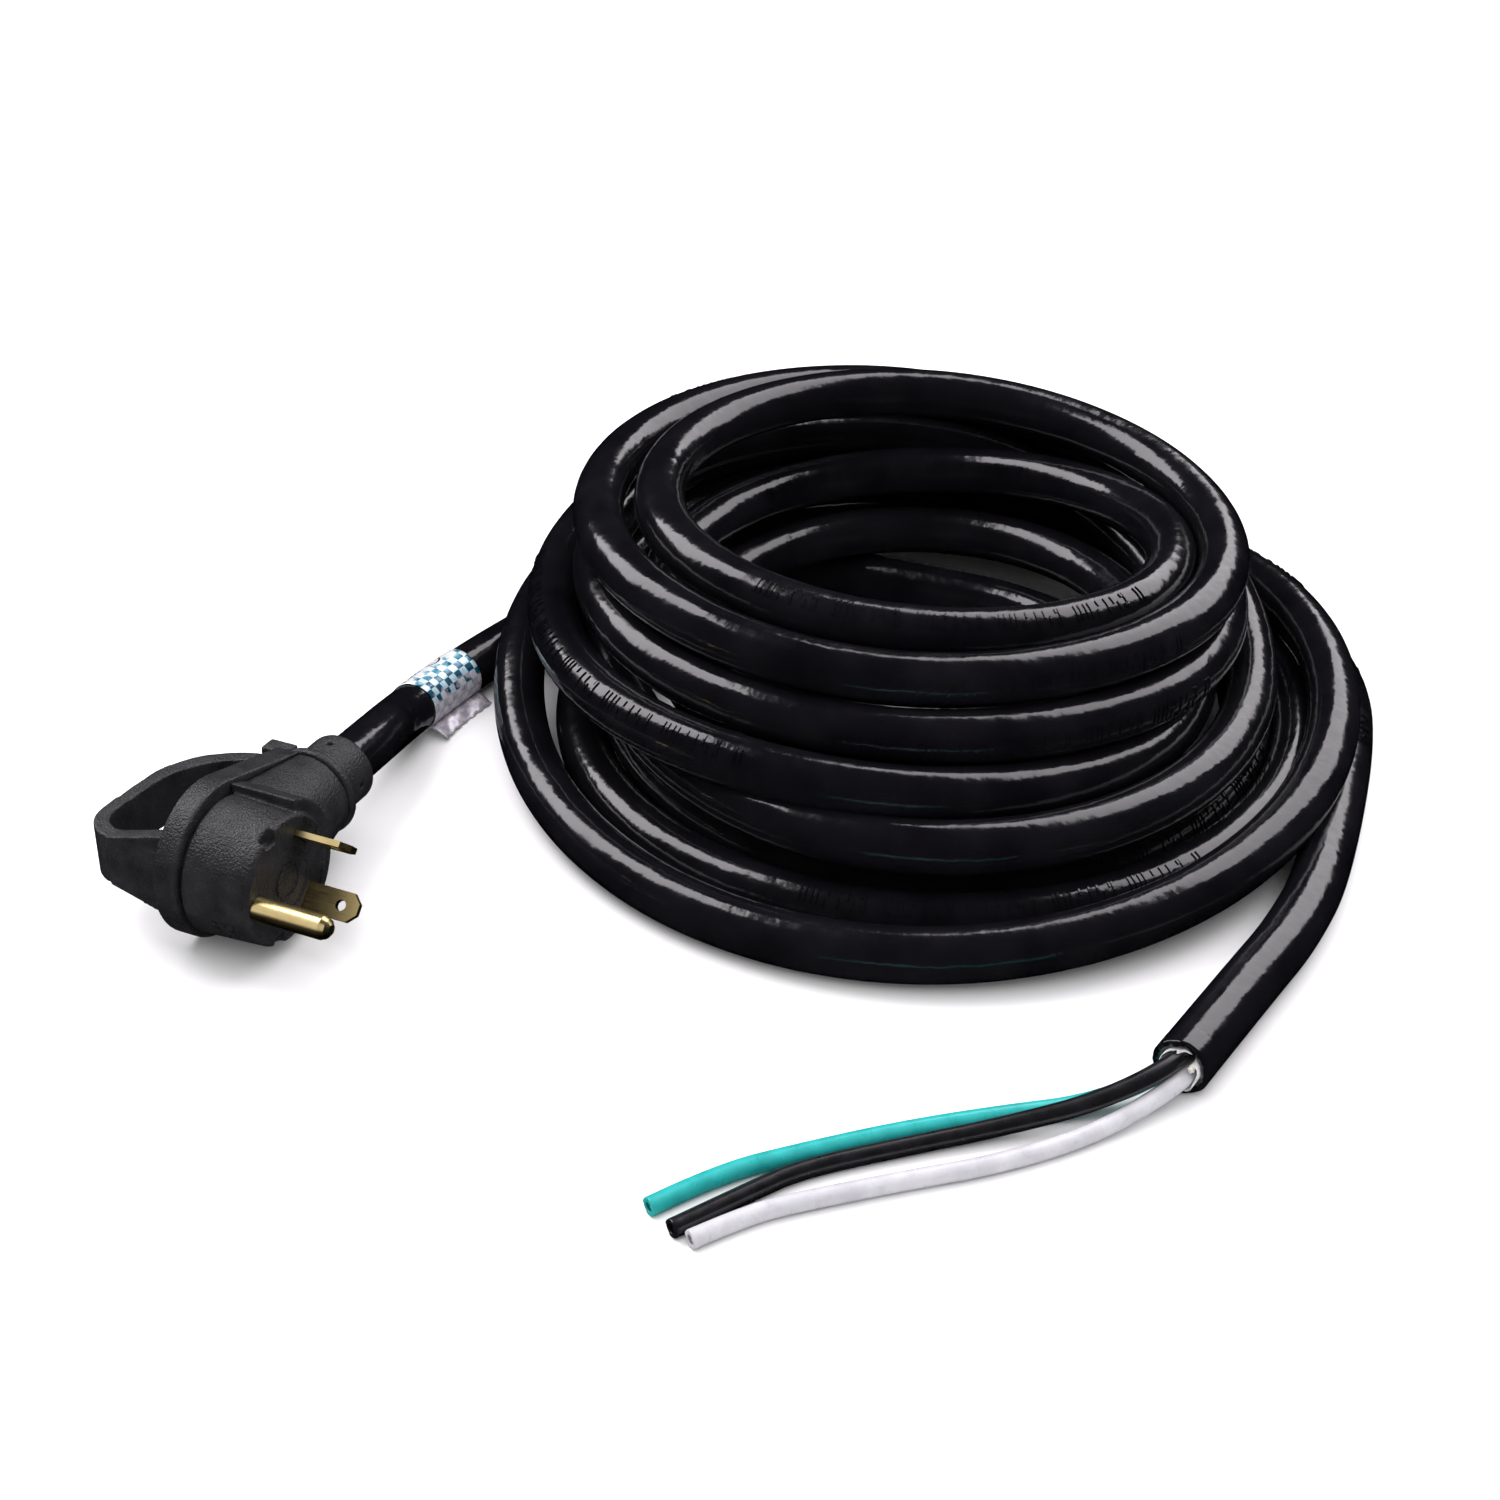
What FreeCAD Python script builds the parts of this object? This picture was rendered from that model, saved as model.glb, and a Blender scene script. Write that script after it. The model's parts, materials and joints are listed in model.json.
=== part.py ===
"""30 A shore power cord: right-angle grip plug, coiled three-core cord, stripped far end.

Millimetres throughout.  World frame: +X is the way the blades point, +Y is the way the cord
leaves the plug, +Z is up, and the floor is z = 0.  The plug is drawn in its own frame (axis of
the round body along X, cord exit along Y) and then placed by place_plug_piece().
"""
import FreeCAD
import Part
import math
import os

from FreeCAD import Vector

# ---------------------------------------------------------------- driving dimensions
DIMENSIONS = [
    ("cord_diameter", 16.0, "outside of the jacket"),
    ("cord_bore", 11.6, "inside of the jacket where it is stripped"),
    ("core_diameter", 5.0, "insulated conductor"),
    ("strand_diameter", 3.0, "bare 10 AWG strand bundle"),
    ("core_pitch_radius", 2.95, "conductor centre from the cord centre"),
    ("axis_y", -18.9, "world y of the plug body axis"),
    ("axis_height", 23.3, "world height of the plug body axis"),
    ("tip_angle", 2.5, "how far the cord exit points down, degrees"),
    ("face_x", 18.5, "blade face of the plug"),
    ("face_radius", 19.0, "round body at the face"),
    ("shell_radius", 20.0, "round body at the rear"),
    ("shell_rear_x", -2.4, "rear end of the round body"),
    ("groove_depth", 1.3, "groove between the round body and the grip frame"),
    ("root_radius", 22.0, "body where the neck starts"),
    ("root_front_x", 17.0, "front of the neck root"),
    ("frame_front_x", -3.7, "front of the grip frame plate"),
    ("frame_rear_x", -11.0, "rear of the grip frame plate"),
    ("frame_radius", 23.0, "grip frame plate round the body"),
    ("frame_offset", 2.0, "centre of that round above the body axis"),
    ("neck_end_y", 41.0, "end of the neck"),
    ("neck_radius", 18.5, "neck at its root"),
    ("neck_end_radius", 13.0, "neck at its end"),
    ("exit_x", -1.0, "cord exit axis"),
    ("exit_bore_radius", 8.05, "bore of the plug and its strain relief round the cord"),
    ("flange_radius", 14.0, "strain relief flange"),
    ("sleeve_radius", 11.0, "strain relief sleeve"),
    ("sleeve_end_y", 58.5, "end of the sleeve"),
    ("jacket_end_y", 36.0, "where the jacket stops inside the neck"),
    ("grip_height", 16.0, "depth of the finger loop"),
    ("blade_y", 8.0, "blade centre from the body axis"),
    ("blade_z", 10.0, "blade centre from the mid plane"),
    ("blade_width", 8.4, "blade width"),
    ("blade_thickness", 1.7, "blade thickness"),
    ("blade_length", 17.0, "blade beyond the face"),
    ("pin_y", -14.9, "ground pin centre"),
    ("pin_radius", 3.4, "ground pin radius"),
    ("pin_length", 23.7, "ground pin beyond the face"),
    ("pin_shank_radius", 3.0, "ground pin inside the moulding"),
    ("pin_step", 0.3, "where the full pin starts, beyond the face"),
    ("shank_rear_x", 3.4, "rear end of the blade shanks"),
    ("barrel_radius", 2.4, "crimp barrel outside"),
    ("barrel_length", 6.0, "crimp barrel length"),
    ("bridge_radius", 17.6, "blade holder radius"),
    ("bridge_x", 7.0, "rear face of the blade holder"),
    ("bridge_thickness", 5.0, "blade holder thickness"),
    ("wrap_wall", 0.3, "paper separator wall"),
    ("filler_radius", 0.8, "filler string radius"),
    ("strip_depth", 24.0, "how far the bore is modelled into the cut end"),
    ("label_wall", 0.35, "label film and glue"),
]

# Cord routes as hand-chosen points; heights are of the centre line.
PLUG_RUN = [(-1.0, 56.5, 20.0), (-11.0, 90.8, 8.0), (-6.5, 128.0, 8.0), (6.0, 176.0, 8.0)]
TAIL_RUN = [(270.0, 160.0, 8.0), (275.6, 122.0, 8.0), (273.4, 90.0, 8.0), (268.4, 66.0, 8.0),
            (260.0, 22.8, 8.0)]
GREEN_ROUTE = [(241.5, 6.0, 2.5), (221.9, -7.2, 2.5), (200.8, -23.1, 2.5),
               (181.0, -40.7, 2.5), (165.8, -55.3, 2.5), (154.8, -73.1, 2.5)]
BLACK_ROUTE = [(244.8, 2.4, 7.4), (223.7, -12.6, 3.5), (203.2, -28.5, 2.5),
               (183.2, -46.0, 2.5), (174.8, -58.9, 2.5), (163.0, -77.5, 2.5)]
WHITE_ROUTE = [(246.1, -1.2, 2.5), (226.1, -19.5, 2.5), (205.9, -36.3, 2.5),
               (186.3, -53.4, 2.5), (177.7, -64.0, 2.5), (168.7, -78.9, 2.5)]
LABEL_FROM_Y = 92.5
LABEL_TO_Y = 117.5
CONDUCTOR_REACH = {"green": 9.0, "black": 9.0, "white": 10.0}

# Small details of the plug mouldings.
FACE_BEVEL = 0.8
NECK_ROOT_Y = 12.0
RING_GROOVE_OUTER = 10.0
RING_GROOVE_INNER = 9.0
RING_GROOVE_DEPTH = 0.6
RING_GROOVE_OPEN_Y = -1.0
NOTCH_SIZE = 5.0
NOTCH_DEPTH = 2.5
NOTCH_Y = -8.5
NOTCH_INNER_Z = 14.5
PLATE_TIP_PROUD = 0.5
PLATE_JOIN_ANGLE = 76.0
WEB_OFFSET = 8.6
WEB_THICKNESS = 4.9
LUG_HEIGHT = 24.0
PIN_HOLE_RADIUS = 1.0
PIN_HOLE_DEPTH = 2.0
TOP_HOLE_BACK = 6.0
SIDE_HOLE_BACK = 7.0

# Small details of the contacts and leads.
TIP_CHAMFER = 2.6
BLADE_HOLE_BACK = 5.6
BLADE_HOLE_RADIUS = 1.6
NOSE_LENGTH = 1.0
NOSE_TIP_SHARE = 0.45
NOSE_SIDE_SHARE = 0.8
TAB_THICKNESS = 1.6
TAB_HEIGHT = 4.8
TAB_OVERLAP = 1.0
BLADE_TAB_WIDTH = 8.0
PIN_TAB_WIDTH = 10.0
BARED_GAP = 0.5

# Small details of the cord.
FLAG_WIDTH = 6.2
FLAG_THICKNESS = 0.6
FLAG_X = -3.6
FLAG_Z = 0.5
FLAG_INSET = 0.5
LABEL_FLOOR_GAP = 0.02
SEPARATOR_PROUD = 1.0
FILLER_PITCH = 4.45
FILLER_PROUD = 4.0
FILLER_ANGLES = (30.0, 150.0, 270.0)

# Reach of the cutting tools past the faces they cut.
OVERSHOOT = 2.0
BORE_MARGIN = 1.0
TRIM_MARGIN = 5.0
TRIM_DEPTH = 20.0
HALF_WINDOW = 30.0
DRILL_REACH = 12.0
JACKET_SPACE = 40.0
FOOT_DEPTH = 5.0
TANGENT_SHARE = 0.45

# The coil's outer shape, as level circles: (height, centre x, centre y, radius).
COIL_FOOT = (0.0, 140.6, 164.5, 141.0)
COIL_SHOULDER = (17.0, 140.6, 164.5, 141.0)
COIL_TOP = (74.0, 122.5, 184.6, 107.0)
COIL_HOLE_FOOT = (-1.0, 129.3, 173.4, 66.0)
COIL_HOLE_TOP = (75.0, 125.1, 184.1, 72.0)

doc = FreeCAD.newDocument("ShoreCord")
pieces = []


# ---------------------------------------------------------------- helpers
def make_sheet():
    """Spreadsheet with every driving dimension under its own name."""
    sheet = doc.addObject("Spreadsheet::Sheet", "dims")
    for row, (name, value, note) in enumerate(DIMENSIONS, start=1):
        sheet.set("A%d" % row, str(value))
        sheet.set("B%d" % row, note)
        sheet.setAlias("A%d" % row, name)
    doc.recompute()
    return sheet


dims = make_sheet()


def d(name):
    """Value of a driving dimension."""
    return float(getattr(dims, name))


def place_plug_piece(obj, own):
    """Put a piece drawn in the plug's frame, with its own offset there, where the plug lies."""
    turn = FreeCAD.Rotation(Vector(1, 0, 0), -d("tip_angle"))
    obj.Placement = FreeCAD.Placement(Vector(0, d("axis_y"), d("axis_height")), turn).multiply(own)
    obj.setExpression("Placement.Base.y", "dims.axis_y")
    obj.setExpression("Placement.Base.z", "dims.axis_height")
    return obj


def keep(obj, node):
    """Register a finished sub-part under its node name."""
    obj.Label = node
    pieces.append((node, obj))
    return obj


def new_body(name):
    """Empty PartDesign body."""
    return doc.addObject("PartDesign::Body", name)


def plane_of(body, role):
    """One of the body's own base planes."""
    for feature in body.Origin.OriginFeatures:
        if feature.Role == role:
            return feature


def sketch_on(body, name, role, offset=0.0):
    """Sketch on a base plane, moved along the plane's normal."""
    sketch = body.newObject("Sketcher::SketchObject", name)
    sketch.AttachmentSupport = [(plane_of(body, role), "")]
    sketch.MapMode = "FlatFace"
    sketch.AttachmentOffset = FreeCAD.Placement(Vector(0, 0, offset), FreeCAD.Rotation())
    return sketch


def add_loop(sketch, points):
    """Closed outline of straight lines."""
    for start, end in zip(points, points[1:] + points[:1]):
        sketch.addGeometry(Part.LineSegment(Vector(*start, 0), Vector(*end, 0)), False)


def add_path(sketch, items):
    """Outline of ("line", end) and ("arc", middle, end) items, from the first item's point."""
    at = Vector(*items[0], 0)
    for item in items[1:]:
        end = Vector(*item[-1], 0)
        if item[0] == "line":
            sketch.addGeometry(Part.LineSegment(at, end), False)
        else:
            sketch.addGeometry(Part.Arc(at, Vector(*item[1], 0), end), False)
        at = end


def pad(body, sketch, name, length, bound=None, midplane=False, reverse=False):
    """Pad a sketch."""
    feature = body.newObject("PartDesign::Pad", name)
    feature.Profile = sketch
    feature.Length = length
    feature.Midplane = midplane
    feature.Reversed = reverse
    if bound:
        feature.setExpression("Length", bound)
    return feature


def revolve(body, sketch, name, axis_role):
    """Full turn of a sketch about one of the body's base axes."""
    feature = body.newObject("PartDesign::Revolution", name)
    feature.Profile = sketch
    feature.ReferenceAxis = (plane_of(body, axis_role), [""])
    feature.Angle = 360.0
    return feature


def feature_of(name, shape):
    """Plain Part feature holding a shape built by code."""
    obj = doc.addObject("Part::Feature", name)
    obj.Shape = shape
    return obj


def cut(name, base, tools):
    """Base with the space of each tool taken out in turn."""
    for count, tool in enumerate(tools):
        result = doc.addObject("Part::Cut", "%s_%d" % (name, count))
        result.Refine = False
        result.Base = base
        result.Tool = tool
        base = result
    return base


def vec(point):
    """Vector from a tuple."""
    return Vector(*point)


def rounded_wire(points, label):
    """Straight runs joined by tangent arcs; each radius follows from its shorter run."""
    corners = [vec(p) for p in points]
    edges = []
    radii = []
    at = corners[0]
    for before, corner, after in zip(corners, corners[1:], corners[2:]):
        run_in = corner - before
        run_out = after - corner
        turn = run_in.getAngle(run_out)
        tangent = TANGENT_SHARE * min(run_in.Length, run_out.Length)
        radius = tangent / math.tan(turn / 2.0)
        u = Vector(run_in).normalize()
        v = Vector(run_out).normalize()
        start = corner - u * tangent
        end = corner + v * tangent
        inward = (v - u).normalize()
        middle = corner + inward * (radius / math.cos(turn / 2.0) - radius)
        edges.append(Part.LineSegment(at, start).toShape())
        edges.append(Part.Arc(start, middle, end).toShape())
        radii.append(round(radius, 1))
        at = end
    edges.append(Part.LineSegment(at, corners[-1]).toShape())
    print(label, "bend radii", radii)
    return Part.Wire(edges)


def sweep(wire, radius):
    """Round rod along a wire."""
    edge = wire.Edges[0]
    start = edge.valueAt(edge.FirstParameter)
    heading = edge.tangentAt(edge.FirstParameter)
    section = Part.Wire([Part.makeCircle(radius, start, heading)])
    return wire.makePipeShell([section], True, False)


def rod(points, radius, label):
    """Round rod along a rounded route, with its volume compared with section times length."""
    wire = rounded_wire(points, label)
    solid = sweep(wire, radius)
    expected = math.pi * radius * radius * wire.Length
    print(label, "length", round(wire.Length, 1), "volume ratio", round(solid.Volume / expected, 4))
    return solid


def plug_point(x, y, z):
    """World position of a point given in the plug's frame."""
    turn = FreeCAD.Rotation(Vector(1, 0, 0), -d("tip_angle"))
    moved = turn.multVec(Vector(x, y, z)) + Vector(0, d("axis_y"), d("axis_height"))
    return (moved.x, moved.y, moved.z)


# ---------------------------------------------------------------- plug mouldings
def plug_shell():
    """Round body, neck root and neck as one outer shape, drawn in the plug's frame."""
    body = new_body("shell")
    round_part = sketch_on(body, "shell_profile", "XZ_Plane")
    rear = d("shell_rear_x")
    add_loop(round_part, [
        (d("frame_front_x"), 0), (d("frame_front_x"), d("shell_radius") - d("groove_depth")),
        (rear, d("shell_radius") - d("groove_depth")), (rear, d("shell_radius")),
        (d("face_x") - FACE_BEVEL, d("face_radius")),
        (d("face_x"), d("face_radius") - FACE_BEVEL), (d("face_x"), 0)])
    revolve(body, round_part, "shell_round", "X_Axis")
    root = sketch_on(body, "root_profile", "YZ_Plane", d("frame_front_x"))
    centre = d("frame_offset")
    radius = d("root_radius")
    low = 8.0
    high = math.sqrt(radius ** 2 - (low - centre) ** 2)
    add_path(root, [(low, -high), ("arc", (centre + radius, 0), (low, high)), ("line", (low, -high))])
    depth = d("root_front_x") - d("frame_front_x")
    pad(body, root, "root_pad", depth, "dims.root_front_x - dims.frame_front_x")
    body.Tip = body.Group[-1]
    doc.recompute()
    return body


def neck_cone():
    """Tapered neck along the cord exit, flat at the rear where the finger loop starts."""
    span = d("neck_end_y") - NECK_ROOT_Y
    cone = doc.addObject("Part::Cone", "neck_cone")
    cone.Radius1 = d("neck_radius")
    cone.Radius2 = d("neck_end_radius")
    cone.Height = span
    cone.setExpression("Radius2", "dims.neck_end_radius")
    turn = FreeCAD.Rotation(Vector(1, 0, 0), -90)
    cone.Placement = FreeCAD.Placement(Vector(d("exit_x"), NECK_ROOT_Y, 0), turn)
    trim = doc.addObject("Part::Box", "neck_trim")
    trim.Length = TRIM_DEPTH
    trim.Width = span + 2 * TRIM_MARGIN
    trim.Height = 2 * HALF_WINDOW
    trim.Placement.Base = Vector(d("frame_rear_x") - TRIM_DEPTH, NECK_ROOT_Y - TRIM_MARGIN, -HALF_WINDOW)
    neck = doc.addObject("Part::Cut", "neck")
    neck.Base = cone
    neck.Tool = trim
    return neck


def face_groove():
    """C-shaped groove in the blade face, open towards the ground pin."""
    start = Vector(d("face_x") - RING_GROOVE_DEPTH, 0, 0)
    outer = Part.makeCylinder(RING_GROOVE_OUTER, 2 * RING_GROOVE_DEPTH, start, Vector(1, 0, 0))
    inner = Part.makeCylinder(RING_GROOVE_INNER, 2 * RING_GROOVE_DEPTH, start, Vector(1, 0, 0))
    reach = d("shell_radius")
    corner = Vector(d("face_x") - OVERSHOOT, RING_GROOVE_OPEN_Y - reach, -reach)
    gap = Part.makeBox(2 * OVERSHOOT, reach, 2 * reach, corner)
    return feature_of("face_groove", outer.cut(inner).cut(gap))


def rim_notches():
    """Two square notches in the lower rim of the face."""
    x = d("face_x") - NOTCH_DEPTH
    deep = NOTCH_DEPTH + OVERSHOOT
    low = Vector(x, NOTCH_Y, -NOTCH_INNER_Z - NOTCH_SIZE)
    first = Part.makeBox(deep, NOTCH_SIZE, NOTCH_SIZE, low)
    second = Part.makeBox(deep, NOTCH_SIZE, NOTCH_SIZE, Vector(x, NOTCH_Y, NOTCH_INNER_Z))
    return feature_of("rim_notches", first.fuse(second))


def grip_outline(body):
    """The D-shaped finger loop."""
    loop = sketch_on(body, "loop_outline", "XY_Plane")
    add_path(loop, [
        (-7.0, -15.0), ("line", (-34.0, -12.4)), ("arc", (-40.1, -7.6), (-42.1, 1.0)),
        ("line", (-41.0, 20.0)), ("arc", (-33.0, 35.5), (-18.0, 43.5)), ("line", (-8.0, 45.0)),
        ("line", (-8.0, 40.0)), ("line", (-18.0, 38.8)), ("arc", (-31.0, 30.0), (-37.0, 15.0)),
        ("line", (-38.0, 0.5)), ("arc", (-36.0, -5.5), (-31.0, -8.0)), ("line", (-7.0, -8.5)),
        ("line", (-7.0, -15.0))])
    pad(body, loop, "loop_pad", d("grip_height"), "dims.grip_height", midplane=True)


def grip_plate(body):
    """Teardrop plate behind the body, narrowing to the cord exit."""
    plate = sketch_on(body, "plate_outline", "YZ_Plane", d("frame_rear_x"))
    centre = d("frame_offset")
    radius = d("frame_radius")
    tip_y = d("neck_end_y")
    tip_z = d("neck_end_radius") + PLATE_TIP_PROUD
    angle = math.radians(PLATE_JOIN_ANGLE)
    join_y = centre + radius * math.cos(angle)
    join_z = radius * math.sin(angle)
    add_path(plate, [(join_y, join_z), ("arc", (centre - radius, 0), (join_y, -join_z)),
                     ("line", (tip_y, -tip_z)), ("line", (tip_y, tip_z)), ("line", (join_y, join_z))])
    depth = d("frame_front_x") - d("frame_rear_x")
    pad(body, plate, "plate_pad", depth, "dims.frame_front_x - dims.frame_rear_x")


def grip_webs(body):
    """Flared root where the near strut meets the plate."""
    web = sketch_on(body, "web_outline", "XZ_Plane", WEB_OFFSET)
    add_loop(web, [(-32.0, -7.9), (-10.0, -14.0), (-10.0, 14.0), (-32.0, 7.9)])
    pad(body, web, "web_pad", WEB_THICKNESS)


def grip_lug(body):
    """Raised block that ends the far strut and cradles the flange."""
    lug = sketch_on(body, "lug_outline", "XY_Plane")
    add_loop(lug, [(-17.0, 40.5), (-8.0, 40.5), (-8.0, 46.5), (-17.0, 46.5)])
    pad(body, lug, "lug_pad", LUG_HEIGHT, midplane=True)


def grip_frame_solid():
    """Plate and finger loop as one moulding."""
    body = new_body("grip")
    grip_plate(body)
    grip_outline(body)
    grip_webs(body)
    grip_lug(body)
    body.Tip = body.Group[-1]
    doc.recompute()
    return body


def strain_relief_solid():
    """Flange and sleeve round the cord, with two moulding pin holes."""
    body = new_body("relief")
    start = d("neck_end_y")
    end = d("sleeve_end_y")
    bore = d("exit_bore_radius")
    profile = sketch_on(body, "relief_profile", "XY_Plane")
    add_loop(profile, [
        (bore, start), (d("flange_radius") - 0.5, start), (d("flange_radius"), start + 0.6),
        (d("flange_radius"), start + 2.4), (d("flange_radius") - 0.7, start + 3.1),
        (d("sleeve_radius") + 0.4, start + 3.4), (d("sleeve_radius"), start + 4.4),
        (d("sleeve_radius"), end - 1.4), (d("sleeve_radius") - 0.4, end - 0.4),
        (d("sleeve_radius") - 1.4, end), (bore, end)])
    revolve(body, profile, "relief_round", "Y_Axis")
    top = sketch_on(body, "pin_hole_top", "XY_Plane")
    top_hole = Part.Circle(Vector(0, end - TOP_HOLE_BACK, 0), Vector(0, 0, 1), PIN_HOLE_RADIUS)
    top.addGeometry(top_hole, False)
    drill(body, top, "top_hole", d("sleeve_radius") - PIN_HOLE_DEPTH)
    side = sketch_on(body, "pin_hole_side", "YZ_Plane")
    side_hole = Part.Circle(Vector(end - SIDE_HOLE_BACK, 0, 0), Vector(0, 0, 1), PIN_HOLE_RADIUS)
    side.addGeometry(side_hole, False)
    drill(body, side, "side_hole", d("sleeve_radius") - PIN_HOLE_DEPTH)
    body.Tip = body.Group[-1]
    doc.recompute()
    return body


def drill(body, sketch, name, floor):
    """Blind radial hole from outside down to a floor radius."""
    sketch.AttachmentOffset = FreeCAD.Placement(Vector(0, 0, floor), FreeCAD.Rotation())
    feature = body.newObject("PartDesign::Pocket", name)
    feature.Profile = sketch
    feature.Length = DRILL_REACH
    feature.Reversed = True
    return feature


# ---------------------------------------------------------------- blades, holder, crimps
def blade_body(name, side):
    """Flat blade at 45 degrees with a bevelled tip, a hole and a crimp tab behind."""
    body = new_body(name + "_body")
    tip = d("face_x") + d("blade_length")
    half = d("blade_width") / 2.0
    outline = sketch_on(body, name + "_outline", "XY_Plane")
    add_loop(outline, [(d("shank_rear_x"), -half), (tip - TIP_CHAMFER, -half), (tip, -half + TIP_CHAMFER),
                       (tip, half - TIP_CHAMFER), (tip - TIP_CHAMFER, half), (d("shank_rear_x"), half)])
    hole = Part.Circle(Vector(tip - BLADE_HOLE_BACK, 0, 0), Vector(0, 0, 1), BLADE_HOLE_RADIUS)
    outline.addGeometry(hole, False)
    pad(body, outline, name + "_pad", d("blade_thickness"), "dims.blade_thickness", midplane=True)
    body.Tip = body.Group[-1]
    turn = FreeCAD.Rotation(Vector(1, 0, 0), -45.0 * side)
    body.Placement = FreeCAD.Placement(Vector(0, d("blade_y"), side * d("blade_z")), turn)
    tab = doc.addObject("Part::Box", name + "_tab")
    tab.Length = TAB_THICKNESS
    tab.Width = BLADE_TAB_WIDTH
    tab.Height = TAB_HEIGHT
    low = side * d("blade_z") - TAB_HEIGHT / 2.0
    tab.Placement.Base = Vector(d("shank_rear_x"), d("blade_y") - TAB_OVERLAP, low)
    fused = doc.addObject("Part::MultiFuse", name + "_local")
    fused.Shapes = [body, tab]
    fused.Refine = True
    return fused


def ground_pin_body():
    """Round ground pin: rounded nose, thinner shank inside the moulding, crimp tab behind."""
    radius = d("pin_radius")
    tip = d("face_x") + d("pin_length")
    step = d("face_x") + d("pin_step")
    body = new_body("pin_body")
    profile = sketch_on(body, "pin_profile", "XY_Plane")
    add_loop(profile, [
        (d("shank_rear_x"), 0), (tip, 0), (tip, -radius * NOSE_TIP_SHARE),
        (tip - NOSE_LENGTH, -radius * NOSE_SIDE_SHARE),
        (tip - TIP_CHAMFER, -radius), (step, -radius), (step, -d("pin_shank_radius")),
        (d("shank_rear_x"), -d("pin_shank_radius"))])
    revolve(body, profile, "pin_round", "X_Axis")
    body.Tip = body.Group[-1]
    body.Placement.Base = Vector(0, d("pin_y"), 0)
    tab = doc.addObject("Part::Box", "pin_tab")
    tab.Length = TAB_THICKNESS
    tab.Width = PIN_TAB_WIDTH
    tab.Height = TAB_HEIGHT
    tab.Placement.Base = Vector(d("shank_rear_x"), d("pin_y") - TAB_OVERLAP, -TAB_HEIGHT / 2.0)
    fused = doc.addObject("Part::MultiFuse", "pin_local")
    fused.Shapes = [body, tab]
    fused.Refine = True
    return fused


def crimp_barrel(name, y_start, z):
    """Open barrel crimped on the bare strands, lying along the cord exit direction."""
    barrel = doc.addObject("Part::Cylinder", name + "_outside")
    barrel.Radius = d("barrel_radius")
    barrel.Height = d("barrel_length")
    barrel.setExpression("Radius", "dims.barrel_radius")
    barrel.setExpression("Height", "dims.barrel_length")
    hole = doc.addObject("Part::Cylinder", name + "_inside")
    hole.Radius = d("strand_diameter") / 2.0
    hole.Height = d("barrel_length") + 2 * BORE_MARGIN
    hole.setExpression("Radius", "dims.strand_diameter / 2")
    turn = FreeCAD.Rotation(Vector(1, 0, 0), -90)
    x = d("shank_rear_x") - d("barrel_radius")
    barrel.Placement = FreeCAD.Placement(Vector(x, y_start, z), turn)
    hole.Placement = FreeCAD.Placement(Vector(x, y_start - BORE_MARGIN, z), turn)
    ring = doc.addObject("Part::Cut", name)
    ring.Base = barrel
    ring.Tool = hole
    return ring, barrel


def lead_routes():
    """Route of each lead inside the plug, from its crimp to the end of the jacket."""
    x = d("shank_rear_x") - d("barrel_radius")
    pitch = d("core_pitch_radius")
    end = d("jacket_end_y")
    side_x = d("exit_x") + pitch * 0.5
    side_z = pitch * math.sqrt(3.0) / 2.0
    z = d("blade_z")
    ground_x = d("exit_x") - pitch
    return {
        "hot": [(x, 9.0, z), (x, 20.5, z), (side_x, 29.5, side_z), (side_x, end, side_z)],
        "neutral": [(x, 9.0, -z), (x, 20.5, -z), (side_x, 29.5, -side_z), (side_x, end, -side_z)],
        "ground": [(x, -9.0, 0.0), (x, 14.0, 0.0), (ground_x, 28.0, 0.0), (ground_x, end, 0.0)],
    }


def lead_pieces(name, route):
    """Strand bundle through the crimp, and the insulation from just behind the crimp."""
    strands = rod(route, d("strand_diameter") / 2.0, name + " lead strands")
    bared = route[0][1] + d("barrel_length") + BARED_GAP
    corner = Vector(-HALF_WINDOW, bared, -HALF_WINDOW)
    window = Part.makeBox(2 * HALF_WINDOW, d("jacket_end_y") - bared, 2 * HALF_WINDOW, corner)
    whole = rod(route, d("core_diameter") / 2.0, name + " lead insulation").common(window)
    skin = feature_of(name + "_skin_local", whole.cut(strands))
    space = feature_of(name + "_lead_space", whole)
    return feature_of(name + "_strand_local", strands), skin, space


def blade_holder(contacts):
    """Rigid disc that the three contacts are pressed through."""
    disc = doc.addObject("Part::Cylinder", "holder_disc")
    disc.Radius = d("bridge_radius")
    disc.Height = d("bridge_thickness")
    disc.setExpression("Radius", "dims.bridge_radius")
    disc.setExpression("Height", "dims.bridge_thickness")
    turn = FreeCAD.Rotation(Vector(0, 1, 0), 90)
    disc.Placement = FreeCAD.Placement(Vector(d("bridge_x"), 0, 0), turn)
    return cut("holder_local", disc, contacts)


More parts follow.
